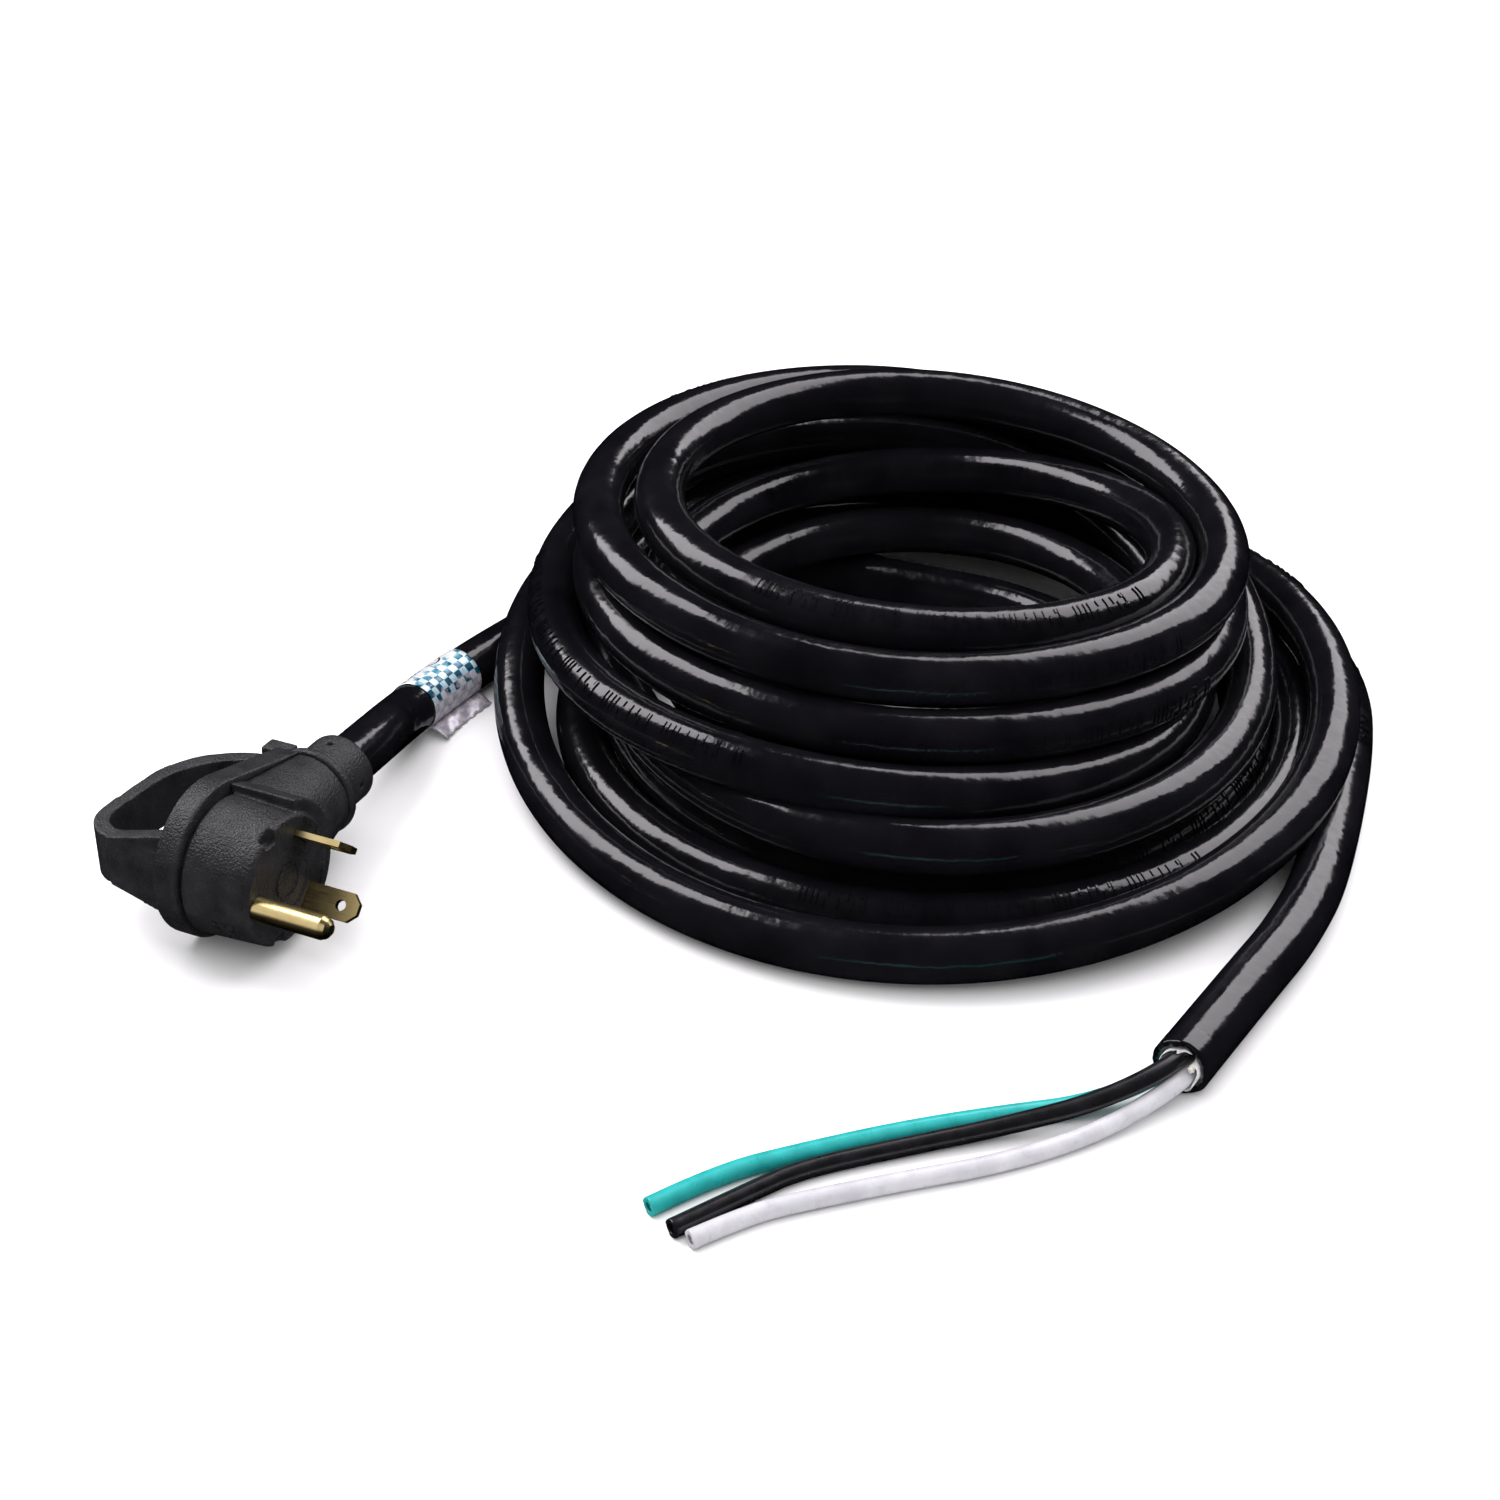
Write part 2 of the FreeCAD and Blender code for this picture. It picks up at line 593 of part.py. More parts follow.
def build_plug():
    """Every solid of the plug."""
    contacts = {"hot_blade": blade_body("hot", 1), "neutral_blade": blade_body("neutral", -1),
                "ground_pin": ground_pin_body()}
    inner = {}
    spaces = []
    for name, route in lead_routes().items():
        ring, barrel = crimp_barrel(name + "_barrel", route[0][1], route[0][2])
        strands, skin, space = lead_pieces(name, route)
        inner[name + "_crimp"] = ring
        inner[name + "_lead_strands"] = strands
        inner[name + "_lead_insulation"] = skin
        spaces += [barrel, strands, space]
    doc.recompute()
    holder = blade_holder(list(contacts.values()))
    jacket = feature_of("jacket_space", Part.makeCylinder(
        d("exit_bore_radius"), JACKET_SPACE, Vector(d("exit_x"), d("jacket_end_y"), 0), Vector(0, 1, 0)))
    inside = list(contacts.values()) + spaces + [holder, jacket]
    outer = doc.addObject("Part::MultiFuse", "plug_outer")
    outer.Shapes = [plug_shell(), neck_cone()]
    doc.recompute()
    moulding = cut("moulding_local", outer, inside + [face_groove(), rim_notches()])
    relief = strain_relief_solid()
    relief.Placement.Base = Vector(d("exit_x"), 0, 0)
    doc.recompute()
    grip = cut("grip_local", grip_frame_solid(), [outer, relief, jacket])
    doc.recompute()
    locals_by_node = {"plug_body": moulding, "grip_frame": grip, "strain_relief": relief,
                      "blade_holder": holder}
    locals_by_node.update(contacts)
    locals_by_node.update(inner)
    for node, local in locals_by_node.items():
        placed = feature_of(node, local.Shape)
        place_plug_piece(placed, local.Shape.Placement)
        keep(placed, node)


# ---------------------------------------------------------------- cord
def plug_run_points():
    """Jacket route from inside the neck to the coil."""
    return [plug_point(d("exit_x"), d("jacket_end_y"), 0.0)] + PLUG_RUN


def build_plug_run():
    """Jacket from the plug to the coil."""
    solid = rod(plug_run_points(), d("cord_diameter") / 2.0, "plug run")
    solid = solid.cut(coil_foot_space(FOOT_DEPTH))
    return keep(feature_of("cord_plug_run", solid), "cord_plug_run")


def build_label(run):
    """Film label wrapped round the cord, its two ends pressed together as a low flag."""
    radius = d("cord_diameter") / 2.0 + d("label_wall")
    sleeve = sweep(rounded_wire(plug_run_points(), "label"), radius)
    length = LABEL_TO_Y - LABEL_FROM_Y
    corner = Vector(PLUG_RUN[1][0] - HALF_WINDOW, LABEL_FROM_Y, LABEL_FLOOR_GAP)
    window = Part.makeBox(2 * HALF_WINDOW, length, 2 * HALF_WINDOW, corner)
    flag_corner = Vector(FLAG_X, LABEL_FROM_Y + FLAG_INSET, FLAG_Z)
    flag = Part.makeBox(FLAG_WIDTH, length - 2 * FLAG_INSET, FLAG_THICKNESS, flag_corner)
    shape = sleeve.common(window).fuse(flag).cut(run.Shape).removeSplitter()
    solids = sorted(shape.Solids, key=lambda s: s.Volume)
    return keep(feature_of("label_wrap", solids[-1]), "label_wrap")


def frustum(low, high):
    """Solid between two level circles."""
    wires = []
    for height, x, y, radius in (low, high):
        wires.append(Part.Wire([Part.makeCircle(radius, Vector(x, y, height))]))
    return Part.makeLoft(wires, True, True)


def coil_foot_space(below):
    """The upright foot of the coil's outside, taken some way below the floor."""
    height, x, y, radius = COIL_FOOT
    return Part.makeCylinder(radius, COIL_SHOULDER[0] - height + below, Vector(x, y, height - below))


def build_coil():
    """The wound turns as one closed ring of their outer shape."""
    outside = coil_foot_space(0.0).fuse(frustum(COIL_SHOULDER, COIL_TOP))
    ring = outside.cut(frustum(COIL_HOLE_FOOT, COIL_HOLE_TOP))
    return keep(feature_of("cord_coil", ring), "cord_coil")


def cut_end():
    """Centre of the cut face, the way the cord points there, and its sideways direction."""
    end = vec(TAIL_RUN[-1])
    ahead = (end - vec(TAIL_RUN[-2])).normalize()
    side = Vector(-ahead.y, ahead.x, 0)
    return end, ahead, side


def conductor_offsets():
    """Where each conductor sits in the section: sideways and up from the centre."""
    pitch = d("core_pitch_radius")
    across = pitch * math.sqrt(3.0) / 2.0
    return {"green": (-across, -pitch / 2.0), "black": (0.0, pitch), "white": (across, -pitch / 2.0)}


def build_tail():
    """Jacket from the coil to the cut, bored where it is stripped."""
    end, ahead, _ = cut_end()
    solid = rod(TAIL_RUN, d("cord_diameter") / 2.0, "tail run")
    bore = Part.makeCylinder(d("cord_bore") / 2.0, d("strip_depth"), end - ahead * d("strip_depth"), ahead)
    return keep(feature_of("cord_tail", solid.cut(bore).cut(coil_foot_space(FOOT_DEPTH))), "cord_tail")


def build_conductors():
    """Three insulated conductors and their strands, from inside the cut end to their tips."""
    end, ahead, side = cut_end()
    routes = {"green": GREEN_ROUTE, "black": BLACK_ROUTE, "white": WHITE_ROUTE}
    for colour, (across, up) in conductor_offsets().items():
        inner = end - ahead * d("strip_depth") + side * across + Vector(0, 0, up)
        outer = inner + ahead * (d("strip_depth") + CONDUCTOR_REACH[colour])
        points = [tuple(inner), tuple(outer)] + routes[colour]
        strands = rod(points, d("strand_diameter") / 2.0, colour + " strands")
        skin = rod(points, d("core_diameter") / 2.0, colour + " insulation").cut(strands)
        keep(feature_of(colour + "_strands", strands), colour + "_strands")
        keep(feature_of(colour + "_insulation", skin), colour + "_insulation")


def build_separator():
    """Paper wrap between the conductors and the jacket, standing a little proud of the cut."""
    end, ahead, _ = cut_end()
    radius = d("cord_bore") / 2.0
    start = end - ahead * d("strip_depth")
    length = d("strip_depth") + SEPARATOR_PROUD
    outer = Part.makeCylinder(radius, length, start, ahead)
    inner = Part.makeCylinder(radius - d("wrap_wall"), length, start, ahead)
    return keep(feature_of("separator_wrap", outer.cut(inner)), "separator_wrap")


def build_fillers():
    """Three filler strings in the valleys between the conductors."""
    end, ahead, side = cut_end()
    start = end - ahead * d("strip_depth")
    strings = []
    for degrees in FILLER_ANGLES:
        across = FILLER_PITCH * math.cos(math.radians(degrees))
        up = FILLER_PITCH * math.sin(math.radians(degrees))
        at = start + side * across + Vector(0, 0, up)
        strings.append(Part.makeCylinder(d("filler_radius"), d("strip_depth") + FILLER_PROUD, at, ahead))
    return keep(feature_of("filler_strings", Part.Compound(strings)), "filler_strings")


def build_cord():
    """Every solid of the cord; each stands at its centre-line height over the floor."""
    run = build_plug_run()
    build_label(run)
    build_coil()
    build_tail()
    build_conductors()
    build_separator()
    build_fillers()


def check_pieces():
    """Stop if any feature failed or any piece is not a sound solid."""
    doc.recompute()
    for obj in doc.Objects:
        if "Invalid" in obj.State or "Error" in obj.State:
            raise RuntimeError("feature failed: " + obj.Name)
    for node, obj in pieces:
        shape = obj.Shape
        if shape.isNull() or not shape.isValid() or not shape.Solids:
            raise RuntimeError("bad shape: " + node)


def report_plug_box(plug_pieces):
    """Print the plug's own box, which places the origin."""
    box = FreeCAD.BoundBox()
    for _, obj in plug_pieces:
        box.add(obj.Shape.BoundBox)
    sides = (box.XMin, box.XMax, box.YMin, box.YMax, box.ZMin, box.ZMax)
    print("plug box", [round(v, 2) for v in sides])


def export_pieces():
    """One STEP file for each node."""
    os.makedirs("parts", exist_ok=True)
    for node, obj in pieces:
        obj.Shape.exportStep("parts/%s.step" % node)
        print(node, "solids", len(obj.Shape.Solids), "volume", round(obj.Shape.Volume, 1))


build_plug()
plug_pieces = list(pieces)
build_cord()
check_pieces()
report_plug_box(plug_pieces)
export_pieces()
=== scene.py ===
"""Shore power cord: grip plug, loosely coiled cord and stripped end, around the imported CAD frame."""

import json
import math

import bpy
import numpy as np
from mathutils import Matrix, Vector

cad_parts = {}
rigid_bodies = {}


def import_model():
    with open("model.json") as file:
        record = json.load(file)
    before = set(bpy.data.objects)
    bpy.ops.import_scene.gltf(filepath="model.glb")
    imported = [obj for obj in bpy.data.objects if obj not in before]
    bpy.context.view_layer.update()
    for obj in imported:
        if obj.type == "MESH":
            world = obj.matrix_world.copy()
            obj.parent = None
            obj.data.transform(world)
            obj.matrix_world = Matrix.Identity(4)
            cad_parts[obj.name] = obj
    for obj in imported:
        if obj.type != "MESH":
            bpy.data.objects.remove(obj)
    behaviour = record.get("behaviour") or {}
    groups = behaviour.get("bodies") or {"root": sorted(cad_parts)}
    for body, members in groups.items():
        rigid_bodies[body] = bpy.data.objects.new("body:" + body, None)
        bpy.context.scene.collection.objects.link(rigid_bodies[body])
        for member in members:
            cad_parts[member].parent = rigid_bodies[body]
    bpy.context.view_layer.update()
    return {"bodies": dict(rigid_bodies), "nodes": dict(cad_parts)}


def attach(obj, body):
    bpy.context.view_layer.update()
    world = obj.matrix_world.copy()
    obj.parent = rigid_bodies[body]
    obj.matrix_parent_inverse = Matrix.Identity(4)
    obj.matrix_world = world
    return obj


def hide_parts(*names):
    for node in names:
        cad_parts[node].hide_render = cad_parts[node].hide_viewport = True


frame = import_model()
NODES = frame["nodes"]
ROOT = list(frame["bodies"])[0]

MM = 0.001

# ---------------------------------------------------------------- sizes, mm
CORD_D = 16.0
BORE_R = 5.8
CORE_D = 5.0
STRAND_R = 1.5

# Plug placement: the plug's own frame, tipped about X and set on the floor.
PLUG_Y = -18.9
PLUG_Z = 23.3
PLUG_TIP = 2.5

# Label film: its length along the cord, its way round it and one check of its pattern.
LABEL_LENGTH = 25.0
LABEL_ROUND = 52.0
LABEL_CELL = 2.6
LABEL_CELLS = LABEL_ROUND / LABEL_CELL

# Camera.
LOOK = (93.19, 125.85, 0.0)
CAMERA_AZIMUTH = 24.0
CAMERA_ELEVATION = 33.0
CAMERA_DISTANCE = 731.0
LENS = 55.2
SENSOR = 36.0

# Cord routes.  Points are control points of the centre line.
PLUG_RUN = [(-1.0, 17.1, 21.7), (-1.0, 56.5, 20.0), (-11.0, 90.8, 8.0), (-6.5, 128.0, 8.0)]
TAIL_RUN = [(275.6, 122.0, 8.0), (273.4, 90.0, 8.0), (268.4, 66.0, 8.0), (260.0, 22.8, 8.0)]
GREEN_ROUTE = [(241.5, 6.0, 2.5), (221.9, -7.2, 2.5), (200.8, -23.1, 2.5),
               (181.0, -40.7, 2.5), (165.8, -55.3, 2.5), (154.8, -73.1, 2.5)]
BLACK_ROUTE = [(244.8, 2.4, 7.4), (223.7, -12.6, 3.5), (203.2, -28.5, 2.5),
               (183.2, -46.0, 2.5), (174.8, -58.9, 2.5), (163.0, -77.5, 2.5)]
WHITE_ROUTE = [(246.9, -3.4, 2.5), (228.1, -23.9, 2.5), (207.5, -39.9, 2.5),
               (187.7, -56.4, 2.5), (178.1, -65.4, 2.5), (168.7, -78.9, 2.5)]

# The coil, followed from the plug's side: (quarter turns, radius, height).  Quarter 0 is the
# coil's left as the camera sees it, 1 its back, 2 its right and 3 its front.
COIL_CENTRE = (129.3, 172.6)
COIL_START_BEARING = 180.0 + CAMERA_AZIMUTH
STATIONS = [
    (0.213, 127.7, 8), (0.384, 117.8, 8), (0.633, 99, 8), (1, 67, 8), (1.5, 64, 8), (2, 72, 9),
    (3, 72, 18), (4, 76, 21), (5, 78, 24), (6, 73, 29),
    (7, 72, 36), (8, 80, 40), (9, 85, 43), (10, 82, 57),
    (11, 68, 65.5), (12, 80.5, 72), (13, 92, 68), (14, 97.5, 56),
    (15, 84.5, 56.5), (16, 100, 67), (17, 110.5, 61), (18, 98.5, 41),
    (19, 95, 45.8), (20, 101, 52), (21, 103, 48), (22, 89, 27),
    (23, 109, 33.8), (24, 114, 37), (25, 119, 46), (26, 105, 26),
    (27, 118.5, 30.5), (28, 98, 35), (29, 110, 31), (29.5, 112, 25), (30, 113, 11),
    (31, 113.5, 8), (32, 92, 19), (33, 96, 20), (33.5, 113, 8.5), (34, 128, 8),
    (35, 129.5, 8), (36, 106, 8), (36.35, 106, 20), (36.6, 105.5, 24), (37, 104, 12), (38, 129, 20),
    (39, 146.5, 6), (39.75, 131, 10), (40.1, 126, 23), (40.4, 124, 24), (41, 121, 10), (42, 141, 8),
    (42.213, 140.2, 8)]
POINTS_PER_QUARTER = 6
SETTLE_GAP = 16.15
SETTLE_ROUNDS = 160
SETTLE_PUSH = 1.1
SETTLE_HOLD = 0.997
SETTLE_BLEND = 0.2
KIN_REACH = 9
JOIN_REACH = 5
EASE_REACH = 3.0
TINY = 1e-9


# ---------------------------------------------------------------- general helpers
def metres(points):
    """Millimetre points as metre tuples."""
    return [tuple(float(c) * MM for c in p) for p in points]


def plug_matrix():
    """From the plug's own frame, in millimetres, to the row frame, in metres."""
    turn = Matrix.Rotation(math.radians(-PLUG_TIP), 4, "X")
    return Matrix.Scale(MM, 4) @ Matrix.Translation((0.0, PLUG_Y, PLUG_Z)) @ turn


PLUG = plug_matrix()


def add_object(name, data):
    """Object in the scene's collection."""
    obj = bpy.data.objects.new(name, data)
    bpy.context.scene.collection.objects.link(obj)
    return obj


def finish_piece(obj, material, slot, *nodes):
    """Material, smooth shading, the body it rides on, and the CAD parts it stands for hidden."""
    obj.data.materials.clear()
    obj.data.materials.append(material)
    if obj.type == "MESH":
        obj.data.shade_smooth()
    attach(obj, ROOT)
    if nodes:
        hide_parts(*nodes)
    return obj


def mesh_object(name, verts, faces):
    """Mesh object from lists; verts are in millimetres."""
    mesh = bpy.data.meshes.new(name)
    where = Matrix.Scale(MM, 4)
    mesh.from_pydata([tuple(where @ Vector(v)) for v in verts], [], faces)
    mesh.validate()
    mesh.update()
    return add_object(name, mesh)


def add_bevel(obj, width, segments, angle=30.0):
    """Rounded edges."""
    bevel = obj.modifiers.new("round_edges", "BEVEL")
    bevel.width = width * MM
    bevel.segments = segments
    bevel.limit_method = "ANGLE"
    bevel.angle_limit = math.radians(angle)


def soften(obj, voxel, rounds):
    """Moulded look: an even fine mesh with its edges rounded."""
    remesh = obj.modifiers.new("even_mesh", "REMESH")
    remesh.mode = "VOXEL"
    remesh.voxel_size = voxel * MM
    remesh.use_smooth_shade = True
    smooth = obj.modifiers.new("round_over", "SMOOTH")
    smooth.factor = 0.5
    smooth.iterations = rounds


# ---------------------------------------------------------------- materials
class Shader:
    """Small helper round a material's node tree."""

    def __init__(self, name):
        self.material = bpy.data.materials.new(name)
        self.material.use_nodes = True
        self.nodes = self.material.node_tree.nodes
        self.links = self.material.node_tree.links
        self.bsdf = self.nodes["Principled BSDF"]
        self.place = self.nodes.new("ShaderNodeTexCoord").outputs["Object"]

    def put(self, **sockets):
        """Fixed values on the shader's own sockets."""
        for name, value in sockets.items():
            self.bsdf.inputs[name.replace("_", " ")].default_value = value

    def link(self, source, target):
        self.links.new(source, target)

    def stretched(self, scale):
        """Coordinates scaled apart along the axes."""
        node = self.nodes.new("ShaderNodeMapping")
        node.inputs["Scale"].default_value = scale
        self.link(self.place, node.inputs["Vector"])
        return node.outputs["Vector"]

    def noise(self, scale, detail=4.0, rough=0.5, vector=None):
        """Noise value."""
        node = self.nodes.new("ShaderNodeTexNoise")
        node.inputs["Scale"].default_value = scale
        node.inputs["Detail"].default_value = detail
        node.inputs["Roughness"].default_value = rough
        self.link(vector or self.place, node.inputs["Vector"])
        return node.outputs["Fac"]

    def cells(self, scale, vector=None):
        """Distance in a cell pattern."""
        node = self.nodes.new("ShaderNodeTexVoronoi")
        node.inputs["Scale"].default_value = scale
        self.link(vector or self.place, node.inputs["Vector"])
        return node.outputs["Distance"]

    def ramp(self, value, stops):
        """Colour ramp through (position, colour) stops."""
        node = self.nodes.new("ShaderNodeValToRGB")
        ramp = node.color_ramp
        while len(ramp.elements) < len(stops):
            ramp.elements.new(0.5)
        for element, (position, colour) in zip(ramp.elements, stops):
            element.position = position
            element.color = (*colour, 1.0)
        self.link(value, node.inputs["Fac"])
        return node.outputs["Color"]

    def span(self, value, low, high, from_low=0.3, from_high=0.7):
        """Value mapped to a range."""
        node = self.nodes.new("ShaderNodeMapRange")
        node.inputs["From Min"].default_value = from_low
        node.inputs["From Max"].default_value = from_high
        node.inputs["To Min"].default_value = low
        node.inputs["To Max"].default_value = high
        self.link(value, node.inputs["Value"])
        return node.outputs["Result"]

    def math(self, operation, a, b, c=None):
        """Result of a math node; inputs are outputs or numbers."""
        node = self.nodes.new("ShaderNodeMath")
        node.operation = operation
        for socket, value in zip(node.inputs, (a, b, c)):
            if isinstance(value, bpy.types.NodeSocket):
                self.link(value, socket)
            elif value is not None:
                socket.default_value = value
        return node.outputs["Value"]

    def sum(self, a, b):
        return self.math("ADD", a, b)

    def compare(self, value, middle, reach):
        """1 where the value is within reach of middle."""
        return self.math("COMPARE", value, middle, reach)

    def both(self, a, b):
        return self.math("MULTIPLY", a, b)

    def either(self, a, b):
        return self.math("MAXIMUM", a, b)

    def wave(self, value, rate):
        """Stripes: 1 over part of each turn of a sine."""
        sine = self.math("SINE", self.math("MULTIPLY", value, rate), 0.0)
        return self.math("GREATER_THAN", sine, -0.1)

    def colour(self, output):
        self.link(output, self.bsdf.inputs["Base Color"])

    def roughness(self, output):
        self.link(output, self.bsdf.inputs["Roughness"])

    def bump(self, layers):
        """Stack of (height output, distance in mm, strength) bumps."""
        normal = None
        for height, distance, strength in layers:
            node = self.nodes.new("ShaderNodeBump")
            node.inputs["Distance"].default_value = distance * MM
            node.inputs["Strength"].default_value = strength
            self.link(height, node.inputs["Height"])
            if normal:
                self.link(normal, node.inputs["Normal"])
            normal = node.outputs["Normal"]
        self.link(normal, self.bsdf.inputs["Normal"])


def jacket_material():
    """Glossy black PVC with faint waviness, scuffs and dust."""
    s = Shader("jacket_pvc")
    s.colour(s.ramp(s.noise(55.0, 5.0), [(0.3, (0.0026, 0.0024, 0.0034)),
                                         (0.75, (0.0065, 0.0062, 0.0080))]))
    s.roughness(s.span(s.noise(90.0, 6.0, 0.65), 0.10, 0.20))
    s.put(Specular_IOR_Level=0.6)
    s.bump([(s.noise(50.0, 3.0), 1.2, 0.5), (s.noise(150.0, 3.0), 0.45, 0.5),
            (s.noise(700.0, 2.0), 0.02, 0.3)])
    return s.material


def moulding_material():
    """Dark PVC moulding with a fine pebbled surface."""
    s = Shader("plug_pvc")
    s.colour(s.ramp(s.noise(140.0, 6.0), [(0.3, (0.012, 0.012, 0.0135)), (0.7, (0.024, 0.024, 0.0265))]))
    s.roughness(s.span(s.noise(260.0, 4.0), 0.28, 0.42))
    s.bump([(s.noise(1500.0, 2.0, 0.6), 0.42, 1.0), (s.cells(2200.0), 0.08, 0.5)])
    return s.material


def brass_material():
    """Bright stamped brass with lengthwise drawing lines."""
    s = Shader("bright_brass")
    lines = s.noise(1.0, 3.0, 0.6, s.stretched((60.0, 1800.0, 1800.0)))
    s.put(Metallic=1.0)
    s.colour(s.ramp(s.noise(160.0, 4.0), [(0.25, (0.64, 0.50, 0.20)), (0.75, (0.84, 0.70, 0.36))]))
    s.roughness(s.span(lines, 0.24, 0.40))
    s.bump([(lines, 0.008, 0.2), (s.noise(220.0, 2.0), 0.05, 0.2)])
    return s.material


def copper_material():
    """Bare copper strands."""
    s = Shader("bare_copper")
    s.put(Metallic=1.0)
    s.colour(s.ramp(s.noise(500.0, 3.0), [(0.3, (0.62, 0.27, 0.14)), (0.7, (0.86, 0.45, 0.28))]))
    s.roughness(s.span(s.noise(900.0, 3.0), 0.24, 0.42))
    s.bump([(s.noise(1400.0, 2.0), 0.03, 0.4)])
    return s.material


def insulation_material(name, low, high):
    """Coloured PVC insulation, slightly waxy, with faint draw marks."""
    s = Shader(name)
    s.put(Coat_Weight=0.25, Coat_Roughness=0.18)
    s.colour(s.ramp(s.noise(170.0, 5.0), [(0.3, low), (0.7, high)]))
    s.roughness(s.span(s.noise(320.0, 4.0), 0.24, 0.38))
    s.bump([(s.noise(160.0, 2.0), 0.10, 0.25), (s.noise(1100.0, 2.0), 0.02, 0.3)])
    return s.material


def resin_material():
    """Rigid resin of the hidden blade holder."""
    s = Shader("holder_resin")
    s.colour(s.ramp(s.noise(240.0, 5.0), [(0.3, (0.05, 0.05, 0.055)), (0.7, (0.09, 0.09, 0.095))]))
    s.roughness(s.span(s.noise(400.0, 4.0), 0.5, 0.7))
    s.bump([(s.noise(900.0, 3.0), 0.05, 0.4)])
    return s.material


def paper_material():
    """Thin white separator paper with a fibrous crinkle."""
    s = Shader("separator_paper")
    fibres = s.noise(1.0, 5.0, 0.6, s.stretched((900.0, 2600.0, 900.0)))
    s.colour(s.ramp(fibres, [(0.3, (0.42, 0.43, 0.44)), (0.7, (0.86, 0.86, 0.84))]))
    s.roughness(s.span(s.noise(700.0, 4.0), 0.5, 0.8))
    s.bump([(fibres, 0.08, 0.7), (s.noise(420.0, 3.0), 0.2, 0.5)])
    return s.material


def filler_material():
    """Twisted paper filler string."""
    s = Shader("filler_string")
    twist = s.noise(1.0, 4.0, 0.6, s.stretched((1500.0, 500.0, 1500.0)))
    s.colour(s.ramp(twist, [(0.3, (0.45, 0.43, 0.38)), (0.7, (0.80, 0.78, 0.72))]))
    s.roughness(s.span(s.noise(900.0, 3.0), 0.7, 0.95))
    s.bump([(twist, 0.15, 0.8)])
    return s.material


def label_material():
    """Silver film: bright on top, a belt of dark and pale diffraction checks, pinkish below.

    The label's UV counts cells: along the cord, and round it from the flag.
    """
    s = Shader("label_film")
    uv = s.nodes.new("ShaderNodeUVMap").outputs["UV"]
    split = s.nodes.new("ShaderNodeSeparateXYZ")
    s.link(uv, split.inputs["Vector"])
    along, around = split.outputs["X"], split.outputs["Y"]
    waver = s.span(s.noise(0.9, 2.0, 0.5, uv), -1.2, 1.2)
    belt = s.span(s.sum(around, waver), 0.0, 1.0, 0.0, LABEL_CELLS)
    checker = s.nodes.new("ShaderNodeTexChecker")
    checker.inputs["Scale"].default_value = 1.0
    s.link(uv, checker.inputs["Vector"])
    pale = s.ramp(belt, [
        (0.0, (0.58, 0.53, 0.57)), (0.15, (0.66, 0.62, 0.68)), (0.20, (0.42, 0.66, 0.78)),
        (0.31, (0.74, 0.88, 0.93)), (0.36, (0.95, 0.96, 0.98)), (0.9, (0.84, 0.86, 0.90))])
    dark = s.ramp(belt, [
        (0.0, (0.40, 0.38, 0.46)), (0.15, (0.46, 0.47, 0.55)), (0.19, (0.006, 0.06, 0.11)),
        (0.29, (0.012, 0.11, 0.19)), (0.35, (0.16, 0.42, 0.55)), (0.39, (0.86, 0.89, 0.92))])
    s.link(pale, checker.inputs["Color1"])
    s.link(dark, checker.inputs["Color2"])
    centre = s.nodes.new("ShaderNodeVectorMath")
    centre.operation = "DISTANCE"
    centre.inputs[1].default_value = (6.3, 9.0, 0.0)
    s.link(uv, centre.inputs[0])
    ring = s.compare(centre.outputs["Value"], 1.15, 0.13)
    bars = s.both(s.compare(around, 9.1, 0.5), s.both(s.compare(along, 2.6, 1.9), s.wave(along, 8.5)))
    paint = s.nodes.new("ShaderNodeMix")
    paint.data_type = "RGBA"
    s.link(s.either(ring, bars), paint.inputs["Factor"])
    s.link(checker.outputs["Color"], paint.inputs["A"])
    paint.inputs["B"].default_value = (0.02, 0.03, 0.05, 1.0)
    s.put(Metallic=0.3, Coat_Weight=0.7, Coat_Roughness=0.05)
    s.colour(paint.outputs["Result"])
    s.roughness(s.span(s.noise(1.3, 4.0, 0.6, uv), 0.20, 0.42))
    s.bump([(s.noise(150.0, 3.0), 0.30, 0.5), (checker.outputs["Fac"], 0.02, 0.3)])
    return s.material


def floor_material():
    """Plain pale floor."""
    s = Shader("pale_floor")
    s.colour(s.ramp(s.noise(3.0, 2.0), [(0.3, (0.90, 0.90, 0.90)), (0.7, (0.93, 0.93, 0.93))]))
    s.put(Roughness=0.9, Specular_IOR_Level=0.1)
    return s.material


JACKET = jacket_material()
MOULDING = moulding_material()
BRASS = brass_material()
COPPER = copper_material()
GREEN = insulation_material("green_pvc", (0.008, 0.31, 0.30), (0.022, 0.43, 0.42))
BLACK = insulation_material("black_pvc", (0.004, 0.0038, 0.005), (0.010, 0.0095, 0.012))
WHITE = insulation_material("white_pvc", (0.46, 0.455, 0.49), (0.57, 0.565, 0.60))
RESIN = resin_material()
PAPER = paper_material()
FILLER = filler_material()
LABEL = label_material()


# ---------------------------------------------------------------- camera
def make_camera():
    """Camera at the picture's angle and lens."""
    azimuth = math.radians(CAMERA_AZIMUTH)
    elevation = math.radians(CAMERA_ELEVATION)
    back = Vector((math.sin(azimuth) * math.cos(elevation), -math.cos(azimuth) * math.cos(elevation),
                   math.sin(elevation)))
    data = bpy.data.cameras.new("camera")
    data.lens = LENS
    data.sensor_width = SENSOR
    data.clip_start = 0.01
    camera = add_object("camera", data)
    camera.location = Vector(metres([LOOK])[0]) + back * CAMERA_DISTANCE * MM
    camera.rotation_euler = back.to_track_quat("Z", "Y").to_euler()
    bpy.context.scene.camera = camera


make_camera()


